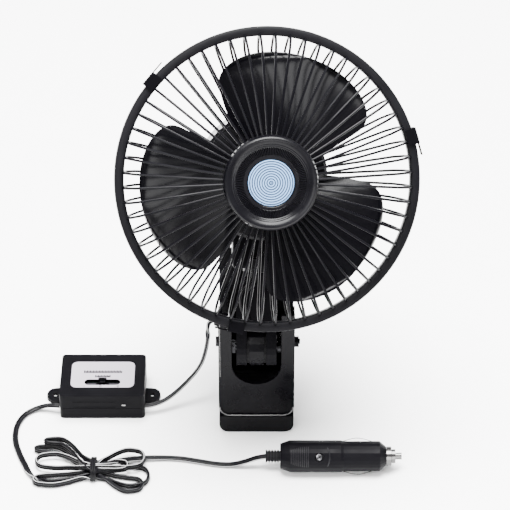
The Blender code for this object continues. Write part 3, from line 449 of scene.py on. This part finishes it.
def flat_cord(name, path, across):
    """Sweep the twin cord's outline along a path; across gives its width direction at each point."""
    outline, stripe = twin_profile()
    bm = bmesh.new()
    rings = []
    for point, tangent, side in zip(path, path_tangents(path), across):
        side = (side - tangent * side.dot(tangent)).normalized()
        through = tangent.cross(side)
        rings.append([bm.verts.new((point + side * u + through * v) * MM) for u, v in outline])
    count = len(outline)
    for a, b in zip(rings, rings[1:]):
        for k in range(count):
            m = (k + 1) % count
            face = bm.faces.new((a[k], a[m], b[m], b[k]))
            if k in stripe:
                face.material_index = 1
    bm.faces.new(list(reversed(rings[0])))
    bm.faces.new(rings[-1])
    return shade(link(name, mesh_of(name, bm), WORLD, [CORD_BLACK, CORD_WHITE]), 50.0)


def turned_across(path, places, turns):
    """Width directions from turns at the route's points: 0 degrees stands the stripe up, 90 lays it flat."""
    result = []
    for tangent, place in zip(path_tangents(path), places):
        n = min(int(place), len(turns) - 2)
        part = place - n
        part = part * part * (3 - 2 * part)
        angle = math.radians(turns[n] * (1 - part) + turns[n + 1] * part)
        side = tangent.cross(UP)
        side = side.normalized() if side.length > 0.05 else Vector((0, 1, 0))
        lift = side.cross(tangent)
        result.append(lift * math.cos(angle) + side * math.sin(angle))
    return result


# Tied hank: passes through the tie as (y, z), and lobes as
# (reach, outgoing y, returning y, height, turn), on the right and on the left by turns
TIE_X = -111.3
LOW, HIGH = 2.3, 6.7
PASSES = ((-60.9, LOW), (-58.3, LOW), (-63.5, LOW), (-55.7, LOW), (-53.1, LOW), (-60.9, HIGH), (-53.1, HIGH),
          (-58.3, HIGH), (-55.7, HIGH))
STRIPE_UP, STRIPE_DOWN = 0.0, 180.0
RIGHT_LOBES = ((-77.6, -77.5, -64.0, 2.3, STRIPE_DOWN), (-73.6, -72.5, -53.0, 2.5, STRIPE_DOWN),
               (-88.0, -51.0, -60.0, 5.4, STRIPE_UP), (-77.0, -39.6, -57.5, 5.6, STRIPE_UP))
LEFT_LOBES = ((-152.0, -61.5, -71.5, 2.4, STRIPE_UP), (-152.8, -38.5, -32.6, 2.4, STRIPE_DOWN),
              (-146.0, -34.4, -29.2, 6.2, STRIPE_DOWN), (-151.0, -56.5, -42.5, 4.4, STRIPE_UP))
LOBE_SIDES = ((0.22, 0.22), (0.45, 0.70), (0.66, 0.97))
LOBE_END = (50, 15, -15, -50)


def lobe_points(start, finish, lobe):
    """Points of one lobe as (x, y, z, turn): out on one side, round the end, back on the other."""
    reach, y_out, y_back, height, turn = lobe
    span = reach - TIE_X
    points = []
    for along, wide in LOBE_SIDES:
        rise = min(1.0, along * 1.6)
        points.append((TIE_X + span * along, start[0] + (y_out - start[0]) * wide,
                       start[1] + (height - start[1]) * rise, turn))
    middle, half = (y_out + y_back) / 2, (y_out - y_back) / 2
    for degrees in LOBE_END:
        angle = math.radians(degrees)
        x = TIE_X + span * (0.74 + 0.26 * math.cos(angle))
        points.append((x, middle + half * math.sin(angle), height, turn))
    for along, wide in reversed(LOBE_SIDES):
        rise = min(1.0, along * 1.6)
        points.append((TIE_X + span * along, finish[0] + (y_back - finish[0]) * wide,
                       finish[1] + (height - finish[1]) * rise, turn))
    return points


def hank_route():
    """Route of the hanked cord as (x, y, z, turn), from the left stretch to the plug's stretch."""
    route = [(-154.8, -59.4, 2.0, 60), (-150.6, -64.8, 2.3, 20), (-142.0, -67.6, LOW, 180),
             (-131.0, -66.6, LOW, 180), (-120.5, -63.4, LOW, 180)]
    lobes = [lobe for pair in zip(RIGHT_LOBES, LEFT_LOBES) for lobe in pair]
    for start, finish, lobe in zip(PASSES, PASSES[1:], lobes):
        route.append((TIE_X, *start, (route[-1][3] + lobe[4]) / 2))
        route += lobe_points(start, finish, lobe)
    route.append((TIE_X, *PASSES[-1], 30))
    route += [(-103.0, -53.4, 6.2, 60), (-94.0, -49.4, 4.6, 80), (-85.0, -46.2, 3.2, 90),
              (-78.0, -44.6, 2.4, 90)]
    return route


def supply_route():
    """Whole supply cord from the controller to the plug as (x, y, z, turn)."""
    left = [(*point, 97.0) for point in CORD_B]
    right = [(*point, 90.0) for point in CORD_C]
    return left + hank_route() + right


def build_cords():
    """The motor's cord and the supply cord, both flat twin leads with a white line on one edge."""
    turns = [-35] + [-35 - 5 * n for n in range(11)] + [-85]
    route = [(*point, turn) for point, turn in zip(CORD_A, turns)]
    pieces = []
    for name, stops, nodes in (("motor_cord", route, ["cord_fan_to_controller"]),
                               ("supply_cord", supply_route(),
                                ["cord_to_hank", "cord_hank", "cord_to_plug"])):
        path, places = smooth_route([stop[:3] for stop in stops], 1.4)
        cord = flat_cord(name, path, turned_across(path, places, [stop[3] for stop in stops]))
        ride(cord, "clamp", *nodes, slot="cord")
        pieces.append((cord, path))
    return pieces


def build_tie():
    """Soft black tie pulled tight round the hank."""
    bm = bmesh.new()
    middle, half_y, half_z = Vector((TIE_X, -58.2, 4.9)), 8.4, 5.2
    path = []
    count = 48
    for k in range(count + 1):
        angle = 2 * math.pi * k / count
        y = half_y * math.copysign(abs(math.cos(angle)) ** 0.6, math.cos(angle))
        z = half_z * math.copysign(abs(math.sin(angle)) ** 0.6, math.sin(angle))
        path.append(middle + Vector((0.3 * math.sin(3 * angle), y, max(z, 0.75 - middle.z))))
    for shift in (-1.25, 0.0, 1.25):
        sweep_bm(bm, [p + Vector((shift, 0, 0.0)) for p in path], 0.72, 8)
    tie = shade(link("tie_wrap", mesh_of("tie_wrap", bm), WORLD, [RUBBER]), 60.0)
    return ride(tie, "clamp", "hank_tie", slot="black_plastic")


# ---------------------------------------------------------------- head

def build_guards():
    """Round-wire guards with moulded rims."""
    inner = RIM_R - RIM_WIDTH
    low, high = RIM_PLANE - 2.6, RIM_PLANE + 2.5
    rim = [(RIM_R - 1.6, high), (RIM_R - 0.5, high - 0.5), (RIM_R, high - 1.7), (RIM_R, low), (inner, low),
           (inner, high - 1.4), (inner + 0.5, high - 0.4), (inner + 1.5, high)]
    bm = turned_bm(rim, 180, closed=True)
    path = round_path([(inner + 1.5, 0, RIM_PLANE), (inner - 1.2, 0, 73.5), (85.5, 0, 80.8), (58, 0, 86.5),
                       (27, 0, 89.2)], 4, 2.6)
    add_wires(bm, path, 1)
    turned_bm([(CAP_R - 1.2, 90.4), (CAP_R - 1.2, 87.4), (24, 87.4), (24, 90.4)], 90, closed=True, bm=bm)
    front = shade(link("front_grille", mesh_of("front_grille", bm), HEAD, [RIM_BLACK, WIRE_BLACK]), 40.0)
    ride(front, "head", "front_guard", slot="guard_black")
    low, high = RIM_PLANE - 8.0, RIM_PLANE - 2.9
    rim = [(RIM_R, high), (RIM_R, low + 1.6), (RIM_R - 0.5, low + 0.5), (RIM_R - 1.6, low),
           (inner + 1.5, low), (inner + 0.4, low + 0.5), (inner, low + 1.5), (inner, high)]
    bm = turned_bm(rim, 180, closed=True)
    corners = [(inner + 1.5, 0, RIM_PLANE - 5), (inner - 1.0, 0, 48), (86, 0, 38.5), (38, 0, 32.2)]
    add_wires(bm, round_path(corners, 4, 2.6), 1)
    plate = [(40.5, 32.6), (41, 32.0), (41, 29.3), (30, 29.3), (30, 31.2), (19, 31.2), (19, 33.0), (39, 33.0)]
    turned_bm(plate, 90, closed=True, bm=bm)
    rear = shade(link("rear_grille", mesh_of("rear_grille", bm), HEAD, [RIM_BLACK, WIRE_BLACK]), 40.0)
    ride(rear, "head", "rear_guard", slot="guard_black")


def add_wires(bm, path, slot):
    """Repeat one wire all round the fan axis."""
    for n in range(WIRE_COUNT):
        turn = Matrix.Rotation(math.radians(360 / WIRE_COUNT * (n + 0.5)), 3, "Z")
        sweep_bm(bm, [turn @ p for p in path], WIRE_R, 8, slot)


def build_hub():
    """Centre cap with its raised rim, fine steps and ribbed band, and the badge with thin rings."""
    f = CAP_FRONT
    steps = 360
    profile = [(0, f - 3.4), (15.2, f - 3.4), (15.4, f - 2.3), (15.8, f - 2.0), (17.6, f - 1.9),
               (17.9, f - 1.7), (22.6, f - 1.3), (22.9, f - 1.5), (23.5, f - 1.0), (24.0, f - 1.1),
               (24.6, f - 0.6), (25.2, f - 0.7), (26.0, f - 0.1), (27.4, f + 0.5), (28.7, f + 0.6),
               (29.6, f - 0.1), (30.3, f - 1.8), (CAP_R, f - 4.2), (CAP_R, 92.0), (CAP_R - 0.3, 91.2),
               (CAP_R - 1.1, 91.0), (CAP_R - 1.1, 96.0), (0, 96.0)]
    bm = turned_bm(profile, steps)
    for vert in bm.verts:
        radius = vert.co.xy.length / MM
        if 17.7 < radius < 22.75 and vert.co.z / MM > f - 2.4:
            k = round(math.degrees(math.atan2(vert.co.y, vert.co.x)) / 360 * steps) % 3
            if k == 0:
                vert.co.z -= 0.9 * MM
    cap = shade(link("centre_cap", mesh_of("centre_cap", bm), HEAD, [HEAD_BLACK]), 24.0)
    ride(cap, "head", "hub_cap", slot="black_plastic")
    profile, slots = badge_profile(f)
    badge = turned("centre_badge", profile, 128, HEAD, [BADGE_BLUE, BADGE_LINE], slots=slots)
    ride(badge, "head", "hub_badge", slot="blue_badge")


def badge_profile(front):
    """Flat disc with evenly spaced rings in a darker blue."""
    rings, outer, line = 9, 14.8, 0.74
    step = (outer - 0.55) / rings
    top = front - 1.75
    points, slots = [(0, top), (0.45, top)], [1]
    for n in range(1, rings + 1):
        radius = step * n - 0.1
        points += [(radius - line, top), (radius, top)]
        slots += [0, 1]
    points += [(outer - 0.3, top - 0.03), (outer, top - 0.35), (outer, front - 2.9), (0, front - 2.9)]
    slots += [0, 0, 0, 0]
    return points, slots


def leaf_point(u, v):
    """Mid surface of one leaf: u from root to tip, v from trailing to leading edge."""
    inner, outer, shoulder = 15.0, BLADE_TIP_R, 0.72
    low_edge = 24.0 + 6.0 * u
    high_edge = 128.0 - 14.0 * u
    past = min(0.996, max(0.0, (u - shoulder) / (1.0 - shoulder)))
    inset = 0.5 * (high_edge - low_edge) * (1.0 - (1.0 - past ** 3) ** (1.0 / 3.0))
    angle = (low_edge + inset) * (1 - v) + (high_edge - inset) * v
    radius = inner + (outer - inner) * u
    depth = 62.0 + (0.5 - v) * (30.0 - 8.0 * u) + 3.0 * math.sin(math.pi * v)
    return at_angle(radius, angle, depth)


def build_blades():
    """Glossy three-leaf rotor."""
    rows, columns, thick = 36, 40, 1.5
    core = [(0, 80), (11, 80), (14.5, 79), (17, 76.5), (18, 73), (18, 50), (15.5, 50), (15.5, 74), (7, 76),
            (7, 52), (0, 52)]
    bm = turned_bm(core, 96)
    for n in range(BLADE_COUNT):
        turn = Matrix.Rotation(math.radians(360 / BLADE_COUNT * n), 3, "Z")
        grids = []
        for side in (thick / 2, -thick / 2):
            grid = []
            for i in range(rows + 1):
                line = []
                for j in range(columns + 1):
                    u = 1.0 - (1.0 - i / rows) ** 1.9
                    v = j / columns
                    edge = min(1.0, (rows - i) / 2, j / 2, (columns - j) / 2)
                    thin = 0.35 + 0.65 * min(1.0, max(0.0, edge))
                    line.append(bm.verts.new((turn @ (leaf_point(u, v) + Vector((0, 0, side * thin)))) * MM))
                grid.append(line)
            grids.append(grid)
        close_leaf(bm, grids, rows, columns)
    blade = shade(link("blade_rotor", mesh_of("blade_rotor", bm), HEAD, [BLADE_BLACK]), 45.0)
    ride(blade, "rotor", "fan_blade", slot="black_gloss")


def close_leaf(bm, grids, rows, columns):
    """Faces of a leaf's two skins and of the edge between them."""
    top, bottom = grids
    for i in range(rows):
        for j in range(columns):
            bm.faces.new((top[i][j], top[i + 1][j], top[i + 1][j + 1], top[i][j + 1]))
            bm.faces.new((bottom[i][j], bottom[i][j + 1], bottom[i + 1][j + 1], bottom[i + 1][j]))
    rim = [(0, j) for j in range(columns)] + [(i, columns) for i in range(rows)]
    rim += [(rows, j) for j in range(columns, 0, -1)] + [(i, 0) for i in range(rows, 0, -1)]
    for (a, b), (c, d) in zip(rim, rim[1:] + rim[:1]):
        bm.faces.new((top[a][b], top[c][d], bottom[c][d], bottom[a][b]))


# ---------------------------------------------------------------- refined CAD shapes

BODY_OF = {node: body for body, nodes in frame["record"]["behaviour"]["bodies"].items() for node in nodes}

# Node: its finish and the width of its rounded edges in millimetres
ROUNDED = {
    "clamp_rear_shell": (CLAMP_BLACK, 0.9), "clamp_front_shell": (CLAMP_BLACK, 0.8),
    "neck_arm": (FORK_BLACK, 1.4),
    "clamp_rear_pad": (RUBBER, 0.5), "clamp_front_pad": (RUBBER, 0.5), "clamp_hinge_pin": (DARK_STEEL, 0.3),
    "clamp_hinge_nut": (DARK_STEEL, 0.3), "tilt_bolt": (DARK_STEEL, 0.3), "tilt_nut": (DARK_STEEL, 0.3),
    "friction_washer_left": (RUBBER, 0.15), "friction_washer_right": (RUBBER, 0.15), "pan_pin": (STEEL, 0.2),
    "motor_rear_cover": (HEAD_BLACK, 0.8), "motor_front_housing": (HEAD_BLACK, 0.8),
    "cable_gland": (HEAD_BLACK, 0.5), "rear_guard_nut": (HEAD_BLACK, 0.4), "guard_clip_1": (CLIP_METAL, 0.15),
    "guard_clip_2": (CLIP_METAL, 0.15), "guard_clip_3": (CLIP_METAL, 0.15), "blade_nut": (HEAD_BLACK, 0.3),
    "controller_base": (CASE_BLACK, 0.8), "controller_cover": (CASE_BLACK, 1.3),
    "plug_boot": (RUBBER, 0.2), "plug_shell_upper": (PLUG_BLACK, 0.35),
    "plug_shell_lower": (PLUG_BLACK, 0.35), "plug_nose_ring": (NICKEL, 0.3), "plug_tip": (NICKEL, 0.3),
}
# Node: the finish of a shape that stays as it is
PLAIN = {
    "cord_grommet": RUBBER, "motor_can": STEEL, "motor_magnet_ring": FERRITE, "motor_end_card": BOARD,
    "bearing_front": BRASS, "bearing_rear": BRASS, "motor_shaft": STEEL, "armature": COPPER,
    "controller_label": LABEL, "circuit_board": BOARD, "switch_frame": SLIDE_GREY, "case_screw_left": STEEL,
    "case_screw_right": STEEL, "plug_fuse": BRASS,
}


def refined_copy(node_name, finish):
    """Copy a CAD node's mesh into a piece that stands for it."""
    mesh = frame["nodes"][node_name].data.copy()
    mesh.materials.clear()
    piece = link("fine_" + node_name, mesh, WORLD, [finish])
    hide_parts(node_name)
    return piece


def refine_nodes():
    """Round the edges of the CAD shapes, and give the rest their finish."""
    for name, (finish, width) in ROUNDED.items():
        piece = refined_copy(name, finish)
        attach(piece, BODY_OF[name])
        soften(shade(piece, 32.0), width)
    for name, finish in PLAIN.items():
        for slot in frame["nodes"][name].material_slots:
            slot.material = finish


def build_crossing_pieces():
    """The clamp's and plug's springs and the motor's lead, with their transforms baked into their points."""
    spring = shade(refined_copy("clamp_spring", STEEL), 60.0)
    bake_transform(spring)
    plug_spring = shade(refined_copy("plug_spring", STEEL), 60.0)
    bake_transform(plug_spring)
    route = [(-5.6, -64.0, 16.5), (-6.4, -70, 17.6), (-11.0, -76, 20.5), (-13.6, -82, 21.0),
             (-13.4, -89, 19.0), (-11.2, -95, 15.5), (-9.8, -98, 11.2)]
    path, _ = smooth_route(route, 1.2)
    bm = bmesh.new()
    for side in (-0.85, 0.85):
        strand = [point + Vector((side * (1 + 0.9 * math.sin(math.pi * n / len(path))), 0, 0.3 * side))
                  for n, point in enumerate(path)]
        sweep_bm(bm, strand, 0.8, 10)
    lead = shade(link("twin_lead", mesh_of("twin_lead", bm), HEAD, [CORD_BLACK]), 60.0)
    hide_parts("motor_lead")
    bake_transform(lead)


# ---------------------------------------------------------------- controller and plug details

BOX_X = -108.0
LABEL_TOP = 20.76
KNOB_Y = 13.5


def bar(bm, low, high, slot=0):
    """Add a box between two corners, in millimetres."""
    size = [high[i] - low[i] for i in range(3)]
    middle = [(high[i] + low[i]) / 2 for i in range(3)]
    place = Matrix.Translation(Vector(middle) * MM) @ Matrix.Diagonal((*[v * MM for v in size], 1.0))
    made = bmesh.ops.create_cube(bm, size=1.0, matrix=place)
    for face in {face for vert in made["verts"] for face in vert.link_faces}:
        face.material_index = slot


# Bars of each number, as in a seven-bar display: left, low, right and high edges over its height
DIGITS = {"1": ((0.4, 0.0, 0.6, 1.0),),
          "0": ((0.0, 0.0, 0.2, 1.0), (0.8, 0.0, 1.0, 1.0), (0.2, 0.0, 0.8, 0.16), (0.2, 0.84, 0.8, 1.0)),
          "2": ((0.0, 0.0, 1.0, 0.16), (0.0, 0.42, 1.0, 0.58), (0.0, 0.84, 1.0, 1.0), (0.0, 0.16, 0.2, 0.42),
                (0.8, 0.58, 1.0, 0.84))}


def build_label_marks():
    """Generic print on the label: two rows of ticks and the switch's three numbers."""
    bm = bmesh.new()
    for row_y, half, height in ((23.2, 13.0, 2.7), (18.6, 5.0, 2.3)):
        count = round(2 * half / 1.05)
        for n in range(count + 1):
            x = BOX_X - half + 2 * half * n / count
            tall = height if n % 2 == 0 else height * 0.75
            bar(bm, (x - 0.42, row_y, LABEL_TOP), (x + 0.42, row_y + tall, LABEL_TOP + 0.05))
    wide, tall, base = 1.3, 1.9, 8.3
    for number, centre in (("1", -12.6), ("0", -1.2), ("2", 11.0)):
        for left, low, right, high in DIGITS[number]:
            x = BOX_X + centre - wide / 2
            bar(bm, (x + left * wide, base + low * tall, LABEL_TOP), (x + right * wide, base + high * tall,
                                                                     LABEL_TOP + 0.05))
    marks = link("label_print", mesh_of("label_print", bm), WORLD, [LABEL_INK])
    ride(marks, "clamp", slot="label_film")


def build_switch_slide():
    """Knob with a small ribbed top over a dark shutter, and the grey bed that it slides on."""
    bm = bmesh.new()
    bar(bm, (BOX_X - 4.5, KNOB_Y - 2.7, 17.6), (BOX_X + 4.5, KNOB_Y + 2.7, 18.2))
    bar(bm, (BOX_X - 1.9, KNOB_Y - 0.8, 18.2), (BOX_X + 1.9, KNOB_Y + 2.4, 21.2))
    bar(bm, (BOX_X - 2.9, KNOB_Y + 1.2, 21.2), (BOX_X + 2.9, KNOB_Y + 3.0, 22.4))
    for n in range(5):
        x = BOX_X - 2.2 + 1.1 * n
        bar(bm, (x - 0.25, KNOB_Y + 1.4, 22.4), (x + 0.25, KNOB_Y + 2.8, 22.7))
    slide = soften(link("switch_slide", mesh_of("switch_slide", bm), WORLD, [CASE_BLACK]), 0.12, 2)
    ride(slide, "knob", "switch_knob", slot="black_plastic")
    bm = bmesh.new()
    bar(bm, (BOX_X - 12.3, KNOB_Y - 2.8, 16.7), (BOX_X + 12.3, KNOB_Y + 2.8, 17.3))
    bed = link("switch_bed", mesh_of("switch_bed", bm), WORLD, [SLIDE_GREY])
    ride(bed, "clamp", slot="black_plastic")


def build_case_details():
    """Small lens in the controller's front, a light grey flat dash that is partly the lens's own tone and
    partly a painted glint, and two shallow ribs beside it.
    """
    bm = bmesh.new()
    bar(bm, (BOX_X + 13.7, -1.75, 11.9), (BOX_X + 16.5, -0.8, 12.6))
    lens = soften(link("lamp_window", mesh_of("lamp_window", bm), WORLD, [LENS_WITH_PAINTED_GLINT]), 0.25)
    ride(lens, "clamp", "indicator_lamp", slot="lamp_lens")
    bm = bmesh.new()
    for z in (9.8, 14.6):
        bar(bm, (BOX_X - 21.0, -1.35, z), (BOX_X + 10.0, -1.0, z + 0.5))
    ribs = soften(link("case_ribs", mesh_of("case_ribs", bm), WORLD, [CASE_BLACK]), 0.15, 2)
    ride(ribs, "clamp", slot="black_plastic")


def build_highlight_beads():
    """Lighter, very glossy beads that paint highlight lines: one on the foot's ledge round the lower edge of
    the clamp's front plate, one up the plate's left edge.
    """
    y, z, half, corner = -14.9, 15.4, 25.2, 7.2
    left = [(-half, y, z + corner + 0.6)]
    for degrees in range(0, 91, 10):
        angle = math.radians(degrees)
        left.append((-half + corner * (1 - math.cos(angle)), y, z + corner * (1 - math.sin(angle))))
    path = left + [(-x, py, pz) for x, py, pz in reversed(left)]
    bm = bmesh.new()
    sweep_bm(bm, [Vector(point) for point in path], 0.5, 10)
    # Second bead: a painted highlight line up the front plate's left edge
    edge = [(-24.9, -14.0, z) for z in (50.0, 58.0, 80.0, 99.0)]
    sweep_bm(bm, [Vector(point) for point in edge], 0.3, 10)
    bead = shade(link("highlight_bead", mesh_of("highlight_bead", bm), WORLD, [HIGHLIGHT_BEAD_GLOSS]), 60.0)
    ride(bead, "front_jaw", slot="black_plastic")


def on_plug(x, degrees, radius):
    """Point on the plug: x along it, degrees from the screw's side."""
    angle = math.radians(degrees)
    return Vector((radius * math.sin(angle), radius * math.cos(angle), x))


def build_plug_details():
    """Thumb ribs, crescent and cross-head screw on the plug's upper shell."""
    bm = bmesh.new()
    ribs = 10
    for n in range(ribs):
        x = 23.6 + 1.28 * n
        reach = 40.0 * math.sin(math.radians(40 + 50 * n / (ribs - 1)))
        arc = [on_plug(x, -reach + 2 * reach * k / 16, 10.85) for k in range(17)]
        sweep_bm(bm, arc, 0.33, 6)
    crescent = [on_plug(48.2 + 1.6 * (1 - (k / 8 - 1) ** 2), -36 + 72 * k / 16, 10.8) for k in range(17)]
    sweep_bm(bm, crescent, 0.5, 6)
    grip = shade(link("plug_grip", mesh_of("plug_grip", bm), PLUG, [GRIP_BLACK]), 60.0)
    ride(grip, "clamp", slot="black_plastic")
    head = [(0, 8.2), (2.5, 8.2), (2.5, 10.0), (2.2, 10.5), (1.4, 10.75), (0, 10.8)]
    place = PLUG @ Matrix.Translation((0, 0, 42.6 * MM)) @ Matrix.Rotation(math.radians(-90), 4, "X")
    screw = turned("plug_screw_head", head, 40, place, [SCREW_STEEL])
    ride(screw, "clamp", "plug_screw", slot="bright_steel")
    bm = bmesh.new()
    bar(bm, (-1.5, 10.4, -0.3), (1.5, 10.86, 0.3))
    bar(bm, (-0.3, 10.4, -1.5), (0.3, 10.87, 1.5))
    turn = Matrix.Translation((0, 0, 42.6 * MM)) @ Matrix.Rotation(math.radians(25), 4, "Y")
    cross = link("plug_screw_cross", mesh_of("plug_screw_cross", bm), PLUG @ turn, [DARK_STEEL])
    ride(cross, "clamp", slot="bright_steel")


def build_boss_cowl():
    """Square cowl between the motor and the neck, round the turning boss."""
    bm = bmesh.new()
    bar(bm, (-20.0, -63.0, -7.0), (16.0, -34.0, 12.4))
    cowl = soften(link("boss_cowl", mesh_of("boss_cowl", bm), HEAD, [FORK_BLACK]), 2.2, 4)
    ride(cowl, "head", slot="black_plastic")


def build_contact_springs():
    """Bowed side contacts of the plug."""
    for word, degrees in (("front", 90), ("back", -90)):
        bm = bmesh.new()
        rings = []
        for k in range(25):
            x = 58.8 + 20.0 * k / 24
            rise = 10.2 + 2.1 * math.sin(math.pi * k / 24) ** 1.2
            middle, edge = on_plug(x, degrees, rise), on_plug(0, degrees + 90, 1.4)
            edge.z = 0
            skin = on_plug(0, degrees, 0.16)
            skin.z = 0
            corners = ((-1, -1), (1, -1), (1, 1), (-1, 1))
            rings.append([bm.verts.new((middle + a * edge + b * skin) * MM) for a, b in corners])
        for a, b in zip(rings, rings[1:]):
            for k in range(4):
                bm.faces.new((a[k], a[(k + 1) % 4], b[(k + 1) % 4], b[k]))
        bm.faces.new(rings[0])
        bm.faces.new(rings[-1])
        name = "plug_contact_" + word
        strip = shade(link("bowed_" + name, mesh_of(name + "_strip", bm), PLUG, [CONTACT_STEEL]), 40.0)
        ride(strip, "contact_" + word, name, slot="bright_steel")


def build_motor_vents():
    """Cooling ribs round the shoulder of the motor's rear cover."""
    bm = bmesh.new()
    for n in range(28):
        turn = Matrix.Rotation(math.radians(360 / 28 * n), 3, "Z")
        shoulder = ((27.5, 0, -39.4), (33.0, 0, -36.9), (38.4, 0, -33.6), (41.0, 0, -28.0))
        sweep_bm(bm, [turn @ Vector(point) for point in shoulder], 0.9, 8)
    ribs = shade(link("cover_ribs", mesh_of("cover_ribs", bm), HEAD, [HEAD_BLACK]), 60.0)
    ride(ribs, "head", slot="black_plastic")


build_camera()
build_studio()
motor_cord, supply_cord = build_cords()
hank_tie = build_tie()
build_guards()
build_hub()
build_blades()
refine_nodes()
build_crossing_pieces()
build_label_marks()
build_switch_slide()
build_case_details()
build_highlight_beads()
build_plug_details()
build_contact_springs()
build_boss_cowl()
build_motor_vents()
